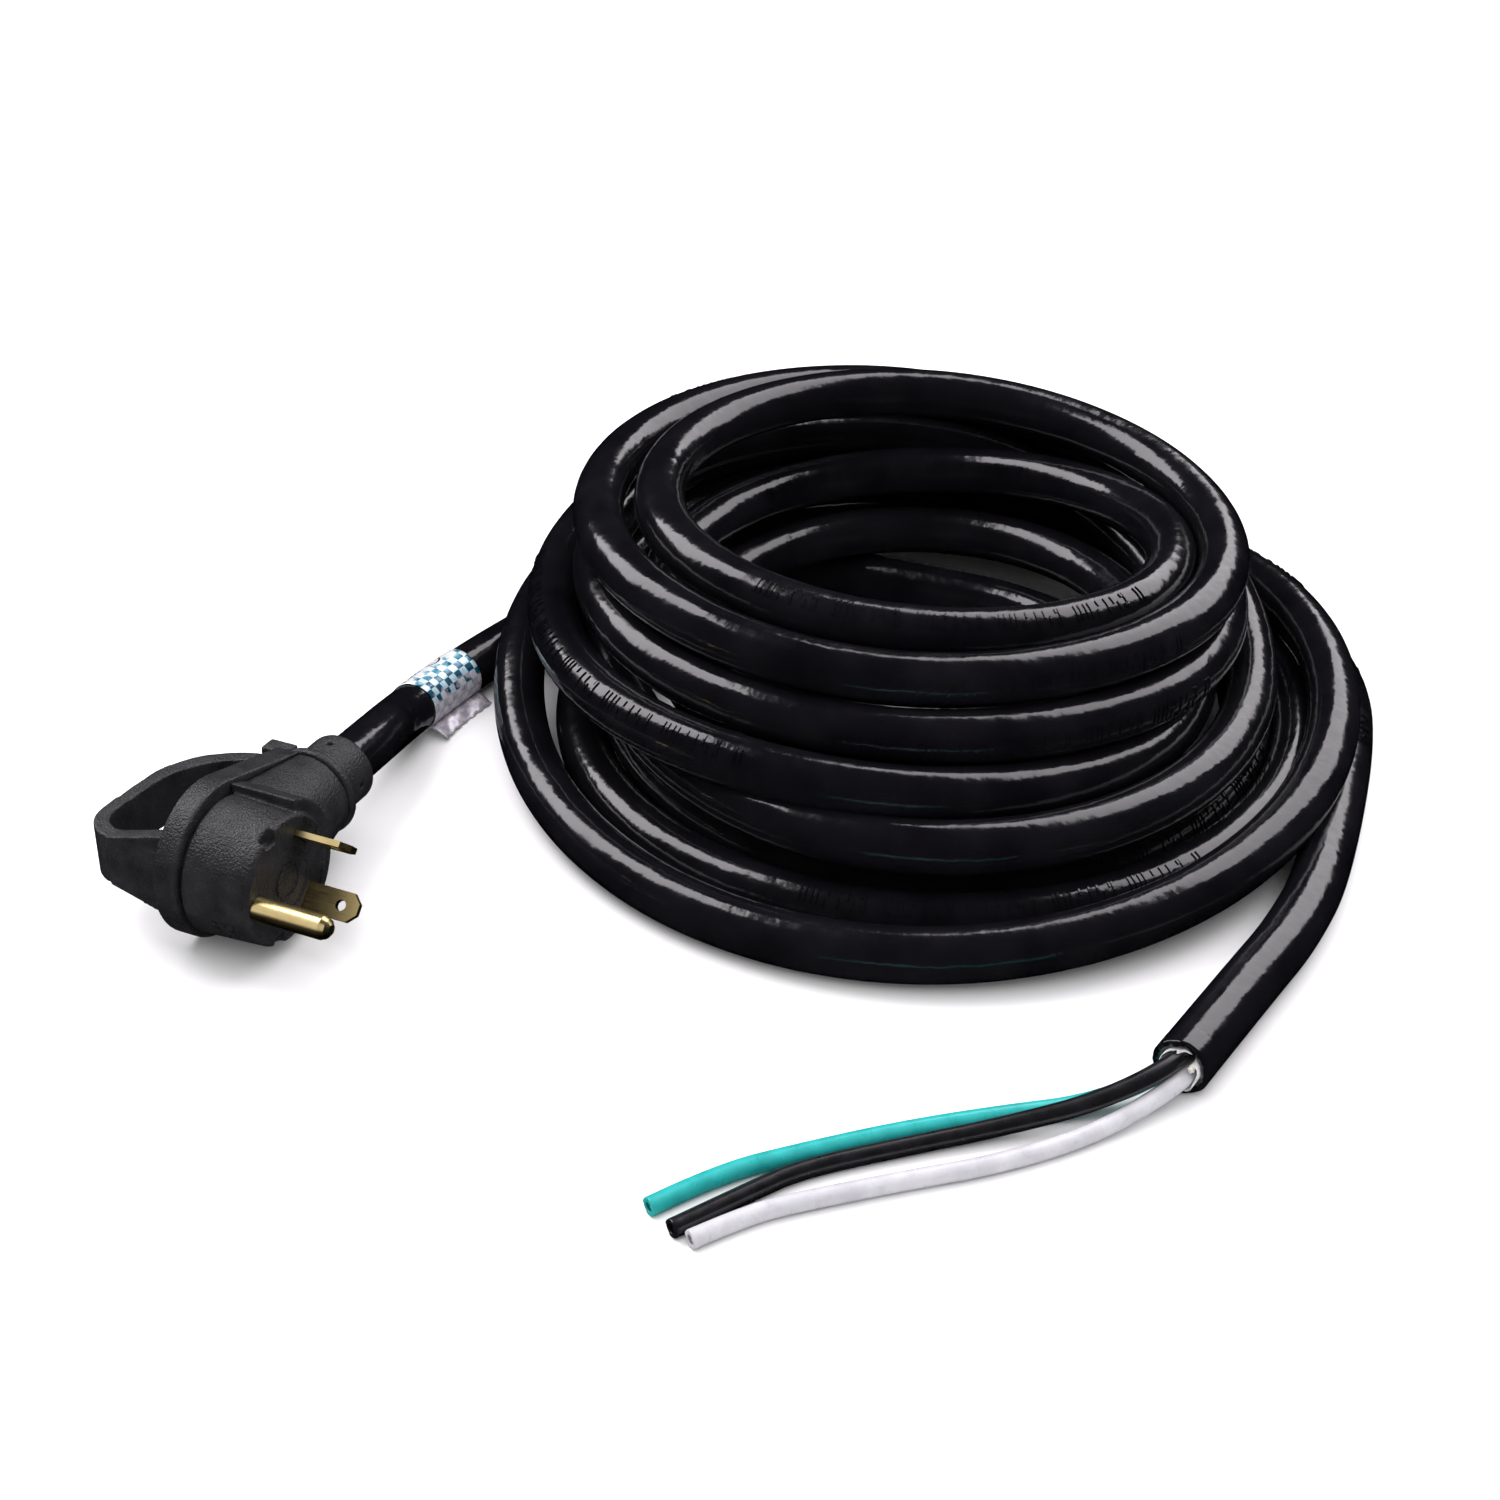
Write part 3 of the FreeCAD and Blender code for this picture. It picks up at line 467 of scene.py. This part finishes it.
# ---------------------------------------------------------------- cord
def turn_points():
    """Control points of the coil's turns, worked out from the stations."""
    at = np.array([s[0] for s in STATIONS])
    value = np.array([s[1:] for s in STATIONS], float)
    slope = np.zeros_like(value)
    slope[1:-1] = (value[2:] - value[:-2]) / (at[2:] - at[:-2])[:, None]
    slope[0] = (value[1] - value[0]) / (at[1] - at[0])
    slope[-1] = (value[-1] - value[-2]) / (at[-1] - at[-2])
    first = math.ceil(at[0] * POINTS_PER_QUARTER)
    last = math.floor(at[-1] * POINTS_PER_QUARTER)
    points = []
    for step in range(first, last + 1):
        quarter = step / POINTS_PER_QUARTER
        i = min(max(int(np.searchsorted(at, quarter, side="right")) - 1, 0), len(at) - 2)
        width = at[i + 1] - at[i]
        u = (quarter - at[i]) / width
        radius, height = ((1 + 2 * u) * (1 - u) ** 2 * value[i] + u * (1 - u) ** 2 * width * slope[i]
                          + u * u * (3 - 2 * u) * value[i + 1] + u * u * (u - 1) * width * slope[i + 1])
        bearing = math.radians(COIL_START_BEARING - 90.0 * quarter)
        points.append((COIL_CENTRE[0] + radius * math.cos(bearing),
                       COIL_CENTRE[1] + radius * math.sin(bearing), height))
    return np.array(points)


def settle(points, fixed, first_fixed):
    """Turns that would lie in each other push apart, and none goes below the floor."""
    start = points.copy()
    count = len(points)
    index = np.arange(count)
    close_kin = np.abs(index[:, None] - index[None, :]) < KIN_REACH
    order = np.arange(len(fixed))[None, :]
    at_start = (index[:, None] < JOIN_REACH) & (order < first_fixed)
    at_end = (index[:, None] >= count - JOIN_REACH) & (order >= first_fixed)
    joined = at_start | at_end
    ease = np.minimum(1.0, np.minimum(index, count - 1 - index) / EASE_REACH)[:, None]
    for _ in range(SETTLE_ROUNDS):
        apart = points[:, None] - points[None, :]
        distance = np.linalg.norm(apart, axis=2) + TINY
        short = np.where(close_kin | (distance >= SETTLE_GAP), 0.0, SETTLE_GAP - distance)
        push = (apart / distance[..., None] * short[..., None] * 0.5).sum(1)
        apart = points[:, None] - fixed[None, :]
        distance = np.linalg.norm(apart, axis=2) + TINY
        short = np.where(joined | (distance >= SETTLE_GAP), 0.0, SETTLE_GAP - distance)
        push += (apart / distance[..., None] * short[..., None]).sum(1)
        moved = points + SETTLE_PUSH * push - start
        eased = moved.copy()
        eased[1:-1] = (SETTLE_BLEND * moved[:-2] + (1.0 - 2.0 * SETTLE_BLEND) * moved[1:-1]
                       + SETTLE_BLEND * moved[2:])
        points = start + eased * ease * SETTLE_HOLD
        points[:, 2] = np.maximum(points[:, 2], CORD_D / 2)
    return points


def spline_object(name, points, diameter, sides, steps):
    """Round cord on one smooth open spline through its control points, in millimetres."""
    data = bpy.data.curves.new(name, "CURVE")
    data.dimensions = "3D"
    data.bevel_depth = 1.0
    data.bevel_resolution = sides
    data.use_fill_caps = True
    spline = data.splines.new("NURBS")
    spline.points.add(len(points) - 1)
    for point, place in zip(spline.points, metres(points)):
        point.co = (*place, 1.0)
        point.radius = diameter * 0.5 * MM
    spline.order_u = 3
    spline.use_endpoint_u = True
    spline.resolution_u = steps
    return add_object(name, data)


HEADING_REACH = 1.5


class Line:
    """Centre line of a spline object, measured by length in millimetres."""

    def __init__(self, obj):
        depth = obj.data.bevel_depth
        obj.data.bevel_depth = 0.0
        mesh = bpy.data.meshes.new_from_object(obj)
        self.points = np.array([v.co[:] for v in mesh.vertices]) / MM
        bpy.data.meshes.remove(mesh)
        obj.data.bevel_depth = depth
        steps = np.linalg.norm(np.diff(self.points, axis=0), axis=1)
        self.at = np.concatenate([[0.0], np.cumsum(steps)])
        self.length = float(self.at[-1])

    def point(self, s):
        return np.array([np.interp(s, self.at, self.points[:, k]) for k in range(3)])

    def nearest(self, place):
        """Length at the line's nearest point to a place."""
        return float(self.at[np.argmin(np.linalg.norm(self.points - np.array(place), axis=1))])

    def axes(self, s):
        """Along, sideways (to the right of travel) and upward directions."""
        ahead = self.point(min(s + HEADING_REACH, self.length))
        along = ahead - self.point(max(s - HEADING_REACH, 0.0))
        along /= np.linalg.norm(along)
        side = np.cross(along, (0.0, 0.0, 1.0))
        side /= np.linalg.norm(side)
        return along, side, np.cross(side, along)

    def on_skin(self, s, degrees, radius):
        """Point at a radius, an angle from straight up towards the side."""
        along, side, up = self.axes(s)
        a = math.radians(degrees)
        return self.point(s) + radius * (math.cos(a) * up + math.sin(a) * side)


def read_line(points):
    """Places along the smooth line through some control points."""
    guide = spline_object("guide", points, CORD_D, 0, 5)
    places = Line(guide).points
    bpy.data.objects.remove(guide)
    return places


def cord_route():
    """Control points of the whole cord, plug to cut end, and the index of the coil's first point."""
    lead_in = read_line(PLUG_RUN)
    lead_out = read_line(TAIL_RUN)
    turns = settle(turn_points(), np.vstack([lead_in, lead_out]), len(lead_in))
    return [tuple(p) for p in PLUG_RUN] + [tuple(p) for p in turns] + [tuple(p) for p in TAIL_RUN]


ROUTE = cord_route()
cord = spline_object("cord_jacket", ROUTE, CORD_D, 14, 8)
CORD = Line(cord)
finish_piece(cord, JACKET, "jacket", "cord_plug_run", "cord_coil", "cord_tail")


def place_of_quarter(quarter):
    """Length along the cord at a quarter-turn count of the coil."""
    first = math.ceil(STATIONS[0][0] * POINTS_PER_QUARTER)
    index = len(PLUG_RUN) + quarter * POINTS_PER_QUARTER - first
    low = int(math.floor(index))
    a, b = np.array(ROUTE[low]), np.array(ROUTE[low + 1])
    return CORD.nearest(a + (b - a) * (index - low))


# Raised marks along the jacket: (from quarter, to quarter, degrees from the top to the inside).
LEGEND = [
    (10.4, 11.5, -31), (8.6, 9.4, 62), (14.45, 15.1, -80), (23.3, 24.1, -42), (30.25, 31.0, -55),
    (12.4, 13.2, -70), (16.5, 17.3, -60), (25.0, 25.8, -75), (37.1, 37.9, -60), (40.7, 41.5, -55),
    (28.2, 28.9, -80), (6.6, 7.4, -40), (34.6, 35.2, -30), (18.4, 19.2, -85), (42.0, 42.2, -30)]
MARK_PITCH = 3.3
MARK_WIDTH = 0.55
MARK_HALF_HEIGHT = 18.0
MARK_LIFT = 0.42
MARK_ROOT = 0.3
MARK_STEPS = 3
# Each cell of the pattern is a few bars: (offset along in mm, lowest and highest share of the height).
MARK_CELLS = (((0.0, -1.0, 1.0), (1.5, -1.0, 1.0)), ((0.3, 0.2, 1.0), (1.3, -1.0, -0.2)),
              ((0.7, -1.0, 1.0),), ((0.0, -1.0, 0.1), (1.5, -0.1, 1.0)),
              ((0.2, -1.0, 1.0), (1.1, 0.4, 1.0), (1.1, -1.0, -0.4)), ())


def add_block(verts, faces, corners):
    """Box from eight corners: near and far end, low and high edge, inner and outer."""
    base = len(verts)
    verts += corners
    faces += [tuple(base + k for k in quad) for quad in (
        (0, 1, 3, 2), (4, 6, 7, 5), (0, 4, 5, 1), (2, 3, 7, 6), (1, 5, 7, 3), (0, 2, 6, 4))]


def legend_marks():
    """Groups of small raised bars along the jacket, in place of moulded characters."""
    verts = []
    faces = []
    radii = (CORD_D / 2 - MARK_ROOT, CORD_D / 2 + MARK_LIFT)
    for start, end, degrees in LEGEND:
        first = place_of_quarter(start)
        for count in range(int((place_of_quarter(end) - first) / MARK_PITCH)):
            for offset, low, high in MARK_CELLS[(count * 5 + count // 7) % len(MARK_CELLS)]:
                at = first + count * MARK_PITCH + offset
                steps = max(1, round((high - low) * MARK_STEPS))
                for k in range(steps):
                    edges = [degrees + MARK_HALF_HEIGHT * (low + (high - low) * (k + e) / steps)
                             for e in (0, 1)]
                    add_block(verts, faces, [CORD.on_skin(s, angle, r) for s in (at, at + MARK_WIDTH)
                                             for angle in edges for r in radii])
    obj = mesh_object("jacket_marks", verts, faces)
    finish_piece(obj, JACKET, "jacket")
    obj.data.shade_flat()
    return obj


marks = legend_marks()


# ---------------------------------------------------------------- label on the cord
LABEL_FROM = 92.5
LABEL_TO = 117.5
LABEL_ROWS = 25
LABEL_SIDES = 40
FILM_STAND = 0.30
FILM_THICKNESS = 0.18
FILM_LOWEST = 0.35
FLAG_ANGLE = 128.0
FLAG_TILT = 12.0
FLAG_AIM = 20.0
FLAG_REACH = 6.2
FLAG_STEPS = 7


def film_ripple(i, j):
    """Small unevenness of the film round the cord."""
    return 0.05 * math.sin(i * 1.3 + j * 0.9) + 0.04 * math.sin(j * 2.1 - i * 0.7)


def label_sleeve():
    """Film label round the cord, its ends pressed together as a creased flag."""
    start = CORD.nearest((-11.0, LABEL_FROM, 8.0))
    stop = CORD.nearest((-7.0, LABEL_TO, 8.0))
    rows = LABEL_ROWS
    around = LABEL_SIDES
    verts = []
    uvs = []
    for i in range(rows + 1):
        s = start + (stop - start) * i / rows
        for j in range(around + 1):
            degrees = FLAG_ANGLE - 360.0 * j / around
            verts.append(CORD.on_skin(s, degrees, CORD_D / 2 + FILM_STAND + film_ripple(i, j)))
            uvs.append((i * LABEL_LENGTH / rows / LABEL_CELL, j * LABEL_ROUND / around / LABEL_CELL))
    row = around + 1
    faces = []
    for i in range(rows):
        for j in range(around):
            faces.append((i * row + j, i * row + j + 1, (i + 1) * row + j + 1, (i + 1) * row + j))
    flag = FLAG_STEPS
    for edge, sign in ((0, 1.0), (around, -1.0)):
        base = len(verts)
        for i in range(rows + 1):
            s = start + (stop - start) * i / rows
            inner = np.array(verts[i * row + edge])
            out = CORD.on_skin(s, FLAG_ANGLE - FLAG_TILT, FLAG_AIM) - CORD.point(s)
            out /= np.linalg.norm(out)
            side = CORD.axes(s)[0]
            for j in range(1, flag + 1):
                crease = 0.35 * math.sin(i * 0.55 + j * 0.5) * (j / flag)
                lap = 0.12 * sign * (1.0 - 0.5 * j / flag)
                reach = FLAG_REACH * j / flag * (1.0 + 0.05 * math.sin(i * 1.7))
                up = np.array((0.0, 0.0, 1.0)) * (crease + lap)
                verts.append(inner + out * reach + up + side * 0.1 * crease)
                first = LABEL_ROUND if edge else 0.0
                uvs.append((i * LABEL_LENGTH / rows / LABEL_CELL,
                            first / LABEL_CELL + FLAG_REACH * j / flag / LABEL_CELL))
        for i in range(rows):
            for j in range(flag):
                a = i * row + edge if j == 0 else base + i * flag + j - 1
                b = (i + 1) * row + edge if j == 0 else base + (i + 1) * flag + j - 1
                faces.append((a, base + i * flag + j, base + (i + 1) * flag + j, b))
    verts = [(x, y, max(z, FILM_LOWEST)) for x, y, z in verts]
    obj = mesh_object("label_sleeve", verts, faces)
    layer = obj.data.uv_layers.new(name="UVMap")
    for loop in obj.data.loops:
        layer.data[loop.index].uv = uvs[loop.vertex_index]
    skin = obj.modifiers.new("film", "SOLIDIFY")
    skin.thickness = FILM_THICKNESS * MM
    skin.offset = 0.0
    return finish_piece(obj, LABEL, "label_film", "label_wrap")


label = label_sleeve()


# ---------------------------------------------------------------- stripped end
def cut_axes():
    """Cut face centre, the way the cord points, its sideways and upward directions."""
    end = np.array(ROUTE[-1], float)
    ahead = end - np.array(ROUTE[-2], float)
    ahead /= np.linalg.norm(ahead)
    side = np.array((-ahead[1], ahead[0], 0.0))
    return end, ahead, side, np.array((0.0, 0.0, 1.0))


CUT_REACH = 7.0
CORE_PITCH = 2.95
RIM_SIDES = 72
NICK_DEPTH = 2.5


def tube_rings(name, rings):
    """Mesh from rings of points, the last ring joined to the first."""
    verts = [p for ring in rings for p in ring]
    n = len(rings[0])
    faces = []
    for i in range(len(rings)):
        k = (i + 1) % len(rings)
        for j in range(n):
            faces.append((i * n + j, i * n + (j + 1) % n, k * n + (j + 1) % n, k * n + j))
    return mesh_object(name, verts, faces)


def cut_tube(name, at, along, side, up, profile, nick):
    """Open end of a tube: a closed (depth, radius) profile turned round, its rim cut unevenly."""
    rim = max(depth for depth, _ in profile)
    rings = []
    for depth, radius in profile:
        ring = []
        for j in range(RIM_SIDES):
            a = 2 * math.pi * j / RIM_SIDES
            share = max(0.0, depth - rim + nick * NICK_DEPTH) / (nick * NICK_DEPTH)
            wave = math.sin(3 * a + 0.6) + 0.5 * math.sin(8 * a) + 0.3 * math.sin(19 * a + 2.0)
            slip = share * nick * wave
            direction = math.cos(a) * side + math.sin(a) * up
            ring.append(at + along * (depth + slip) + direction * radius)
        rings.append(ring)
    return tube_rings(name, rings)


def jacket_lip():
    """The jacket beyond the last filled stretch: open, with an uneven knife-cut rim."""
    end, ahead, side, up = cut_axes()
    outer = CORD_D / 2 + 0.02
    profile = [(-3.0, outer - 0.14), (0.0, outer - 0.02), (1.5, outer), (CUT_REACH - 1.2, outer),
               (CUT_REACH - 0.25, outer), (CUT_REACH, outer - 0.25), (CUT_REACH + 0.1, outer - 1.1),
               (CUT_REACH - 0.05, BORE_R + 0.35), (CUT_REACH - 0.4, BORE_R), (-3.0, BORE_R)]
    obj = cut_tube("jacket_lip", end, ahead, side, up, profile, 0.45)
    return finish_piece(obj, JACKET, "jacket")


def core_route(route, across, height, reach):
    """Control points of one conductor, from inside the lip to its tip."""
    end, ahead, side, up = cut_axes()
    inner = end - ahead * 0.5 + side * across + up * height
    outer = end + ahead * (CUT_REACH + reach) + side * across + up * height
    return [tuple(inner), tuple(outer)] + route


TIP_REACH = 2.4
WIRE_R = 0.28
WIRE_SIDES = 8
WIRE_ROOT = -3.0
WIRE_SHORT = 1.1


def core_tip(name, line, material):
    """Hollow end of the insulation, pinched in a little where it was cut."""
    along, side, up = line.axes(line.length)
    outer = CORE_D / 2 + 0.01
    profile = [(-1.5, outer - 0.08), (0.0, outer - 0.01), (0.6, outer), (TIP_REACH - 0.5, outer),
               (TIP_REACH - 0.12, outer - 0.06), (TIP_REACH, outer - 0.25),
               (TIP_REACH, STRAND_R - 0.3), (TIP_REACH - 0.5, STRAND_R), (-1.5, STRAND_R)]
    obj = cut_tube(name, line.point(line.length), along, side, up, profile, 0.09)
    return finish_piece(obj, material, name.replace("tip", "insulation"))


def strand_bundle(name, line, node):
    """Bare strands, just inside the insulation's end."""
    along, side, up = line.axes(line.length)
    end = line.point(line.length)
    verts = []
    faces = []
    wires = [(0.0, 0.0)] + [(0.58, 60.0 * k) for k in range(6)] + [(1.14, 30.0 * k) for k in range(12)]
    for count, (radius, degrees) in enumerate(wires):
        a = math.radians(degrees)
        centre = end + radius * (math.cos(a) * side + math.sin(a) * up)
        reach = TIP_REACH - WIRE_SHORT + 0.3 * ((count * 7) % 5) / 4.0
        base = len(verts)
        n = WIRE_SIDES
        for depth in (WIRE_ROOT, reach):
            for j in range(n):
                b = 2 * math.pi * j / n
                verts.append(centre + along * depth + WIRE_R * (math.cos(b) * side + math.sin(b) * up))
        for j in range(n):
            faces.append((base + j, base + (j + 1) % n, base + n + (j + 1) % n, base + n + j))
        faces.append(tuple(base + n + j for j in range(n)))
        faces.append(tuple(base + n - 1 - j for j in range(n)))
    return finish_piece(mesh_object(name, verts, faces), COPPER, "copper", node)


def separator():
    """Paper round the conductors, torn off unevenly past the cut."""
    end, ahead, side, up = cut_axes()
    profile = ((0.2, BORE_R - 0.1), (CUT_REACH - 2.0, BORE_R - 0.15), (CUT_REACH + 1.0, BORE_R - 0.3),
               (CUT_REACH + 1.0, BORE_R - 0.55), (CUT_REACH - 2.0, BORE_R - 0.4), (0.2, BORE_R - 0.35))
    rings = []
    for depth, radius in profile:
        ring = []
        for j in range(RIM_SIDES):
            a = 2 * math.pi * j / RIM_SIDES
            torn = max(0.0, depth - CUT_REACH + 2.0) / 3.0
            tear = torn * (1.6 * math.sin(2 * a + 2.4) + 0.8 * math.sin(5 * a) + 0.4 * math.sin(11 * a + 1.0))
            fold = 0.35 * torn * math.sin(6 * a)
            direction = math.cos(a) * side + math.sin(a) * up
            ring.append(end + ahead * (depth + tear) + direction * (radius + fold))
        rings.append(ring)
    return finish_piece(tube_rings("separator_paper", rings), PAPER, "separator_paper", "separator_wrap")


FILLER_PITCH = 4.3
FILLER_ANGLES = (30.0, 150.0, 270.0)
FILLER_STEPS = 26
FILLER_SIDES = 12


def fillers():
    """Three twisted strings in the valleys between the conductors, frayed past the cut."""
    end, ahead, side, up = cut_axes()
    verts = []
    faces = []
    for count, degrees in enumerate(FILLER_ANGLES):
        a = math.radians(degrees)
        base_centre = end + FILLER_PITCH * (math.cos(a) * side + math.sin(a) * up)
        steps = FILLER_STEPS
        sides = FILLER_SIDES
        base = len(verts)
        for i in range(steps + 1):
            depth = (CUT_REACH + 2.2 + count) * i / steps
            fray = max(0.0, depth - CUT_REACH) * 0.16
            bend = fray * fray * 0.8
            centre = base_centre + ahead * depth - side * bend * math.cos(a)
            for j in range(sides):
                b = 2 * math.pi * j / sides
                lobe = 0.82 + 0.16 * math.cos(3 * (b - depth * 1.4)) + fray * 0.35 * math.cos(5 * b)
                verts.append(centre + lobe * (math.cos(b) * side + math.sin(b) * up))
        for i in range(steps):
            for j in range(sides):
                k = (j + 1) % sides
                faces.append((base + i * sides + j, base + i * sides + k,
                              base + (i + 1) * sides + k, base + (i + 1) * sides + j))
        faces.append(tuple(base + steps * sides + j for j in range(sides)))
        faces.append(tuple(base + sides - 1 - j for j in range(sides)))
    return finish_piece(mesh_object("filler_ends", verts, faces), FILLER, "filler_fibre", "filler_strings")


def shorten(curve, last, before, reach):
    """A filled curve stops behind its hollow end, so its last control point moves back."""
    along = np.array(last, float) - np.array(before, float)
    back = np.array(last) - along / np.linalg.norm(along) * reach
    curve.data.splines[0].points[-1].co = (*metres([back])[0], 1.0)
    return tuple(back)


ROUTE[-1] = shorten(cord, ROUTE[-1], ROUTE[-2], CUT_REACH)
CORD = Line(cord)
lip = jacket_lip()
paper = separator()
strings = fillers()

for core_name, core_points, core_material, across_step, height_step, core_reach in (
        ("green", GREEN_ROUTE, GREEN, -0.866, -0.5, 9.0), ("black", BLACK_ROUTE, BLACK, 0.0, 1.0, 9.0),
        ("white", WHITE_ROUTE, WHITE, 0.866, -0.5, 10.0)):
    control = core_route(core_points, across_step * CORE_PITCH, height_step * CORE_PITCH,
                         core_reach - CUT_REACH)
    core = spline_object(core_name + "_core", control, CORE_D, 12, 10)
    finish_piece(core, core_material, core_name + "_insulation", core_name + "_insulation")
    shorten(core, control[-1], control[-2], TIP_REACH)
    core_line = Line(core)
    tip = core_tip(core_name + "_tip", core_line, core_material)
    bundle = strand_bundle(core_name + "_wires", core_line, core_name + "_strands")


# ---------------------------------------------------------------- plug
def dress_cad_nodes():
    """Materials on the CAD pieces that show as they are, and rounded edges on the mouldings."""
    looks = {
        "plug_body": MOULDING, "grip_frame": MOULDING, "strain_relief": MOULDING, "blade_holder": RESIN,
        "hot_crimp": BRASS, "neutral_crimp": BRASS, "ground_crimp": BRASS,
        "hot_lead_insulation": BLACK, "neutral_lead_insulation": WHITE, "ground_lead_insulation": GREEN,
        "hot_lead_strands": COPPER, "neutral_lead_strands": COPPER, "ground_lead_strands": COPPER,
        "hot_blade": BRASS, "neutral_blade": BRASS, "ground_pin": BRASS}
    for node, material in looks.items():
        obj = NODES[node]
        obj.data.materials.clear()
        obj.data.materials.append(material)
    for node in ("plug_body", "grip_frame", "strain_relief"):
        soften(NODES[node], 0.45, 4)
    for node in ("hot_blade", "neutral_blade"):
        add_bevel(NODES[node], 0.25, 2)


dress_cad_nodes()


FACE_X = 18.5
SIDE_MARKS = ((6.0, 196.0), (8.5, 196.0), (11.0, 196.0), (6.0, 203.0), (11.0, 203.0),
              (8.5, 210.0), (11.0, 210.0))
RIM_RADIUS = 16.6
EMBLEM_RADIUS = 4.6


def plug_marks():
    """Generic raised strokes: a few on the round body's side, a broken arc and ring on its face."""
    verts = []
    faces = []

    def polar(x, radius, degrees):
        a = math.radians(degrees)
        return PLUG @ Vector((x, radius * math.cos(a), radius * math.sin(a))) / MM

    for x, degrees in SIDE_MARKS:
        add_block(verts, faces, [polar(x + dx, r, degrees + da) for dx in (0.0, 1.4) for da in (0.0, 4.5)
                                 for r in (18.2, 20.0)])
    strokes = [(RIM_RADIUS, 12.0 + 7.0 * k, 4.2 if k % 3 else 2.2, 1.5) for k in range(7)]
    strokes += [(RIM_RADIUS, -58.0 + 7.0 * k, 4.2 if k % 2 else 2.6, 1.5) for k in range(7)]
    strokes += [(EMBLEM_RADIUS, 24.0 * k, 19.0, 0.8) for k in range(15)]
    for radius, degrees, sweep, width in strokes:
        add_block(verts, faces, [polar(x, radius + dr, degrees + da) for da in (0.0, sweep)
                                 for x in (FACE_X - 0.6, FACE_X + 0.35) for dr in (0.0, width)])
    obj = mesh_object("plug_marks", verts, faces)
    finish_piece(obj, MOULDING, "plug_moulding")
    obj.data.shade_flat()


plug_marks()


# ---------------------------------------------------------------- floor and light
def make_stage():
    """Plain pale floor."""
    bpy.ops.mesh.primitive_plane_add(size=12.0, location=(0.1, 0.15, 0.0))
    floor = bpy.context.object
    floor.name = "floor"
    floor.data.materials.append(floor_material())
    floor.visible_glossy = False


def soft_light(name, right, away, height, size, power, mirrored=True):
    """Area light, placed from the coil as the camera sees it and aimed at the coil."""
    azimuth = math.radians(CAMERA_AZIMUTH)
    centre = Vector((COIL_CENTRE[0] * MM, COIL_CENTRE[1] * MM, 0.03))
    place = centre + Vector((right * math.cos(azimuth) - away * math.sin(azimuth),
                             right * math.sin(azimuth) + away * math.cos(azimuth), height))
    data = bpy.data.lights.new(name, "AREA")
    data.shape = "RECTANGLE"
    data.size, data.size_y = size
    data.energy = power
    data.color = (1.0, 0.965, 1.0)
    light = add_object(name, data)
    light.location = place
    light.visible_glossy = mirrored
    light.rotation_euler = (centre - place).to_track_quat("-Z", "Y").to_euler()
    return light


def make_lights():
    """Two long softboxes that lean over the coil, a broad fill and a white surround."""
    soft_light("softbox_left", -0.74, 0.34, 0.86, (0.62, 0.95), 10.0)
    soft_light("softbox_right", 0.62, 0.58, 0.84, (1.05, 0.95), 11.5)
    soft_light("overhead", 0.0, -0.4, 1.9, (2.4, 2.4), 24.0, False)
    glow = soft_light("brass_glow", -0.55, -0.62, 0.62, (1.3, 1.3), 4.5)
    lit = bpy.data.collections.new("brass_pieces")
    for node in ("hot_blade", "neutral_blade", "ground_pin"):
        lit.objects.link(NODES[node])
    glow.light_linking.receiver_collection = lit
    world = bpy.data.worlds.new("surround")
    world.use_nodes = True
    background = world.node_tree.nodes["Background"]
    background.inputs["Color"].default_value = (1.0, 1.0, 1.0, 1.0)
    background.inputs["Strength"].default_value = 0.75
    world.cycles_visibility.glossy = False
    bpy.context.scene.world = world
    bpy.context.scene.view_settings.view_transform = "Standard"


make_stage()
make_lights()
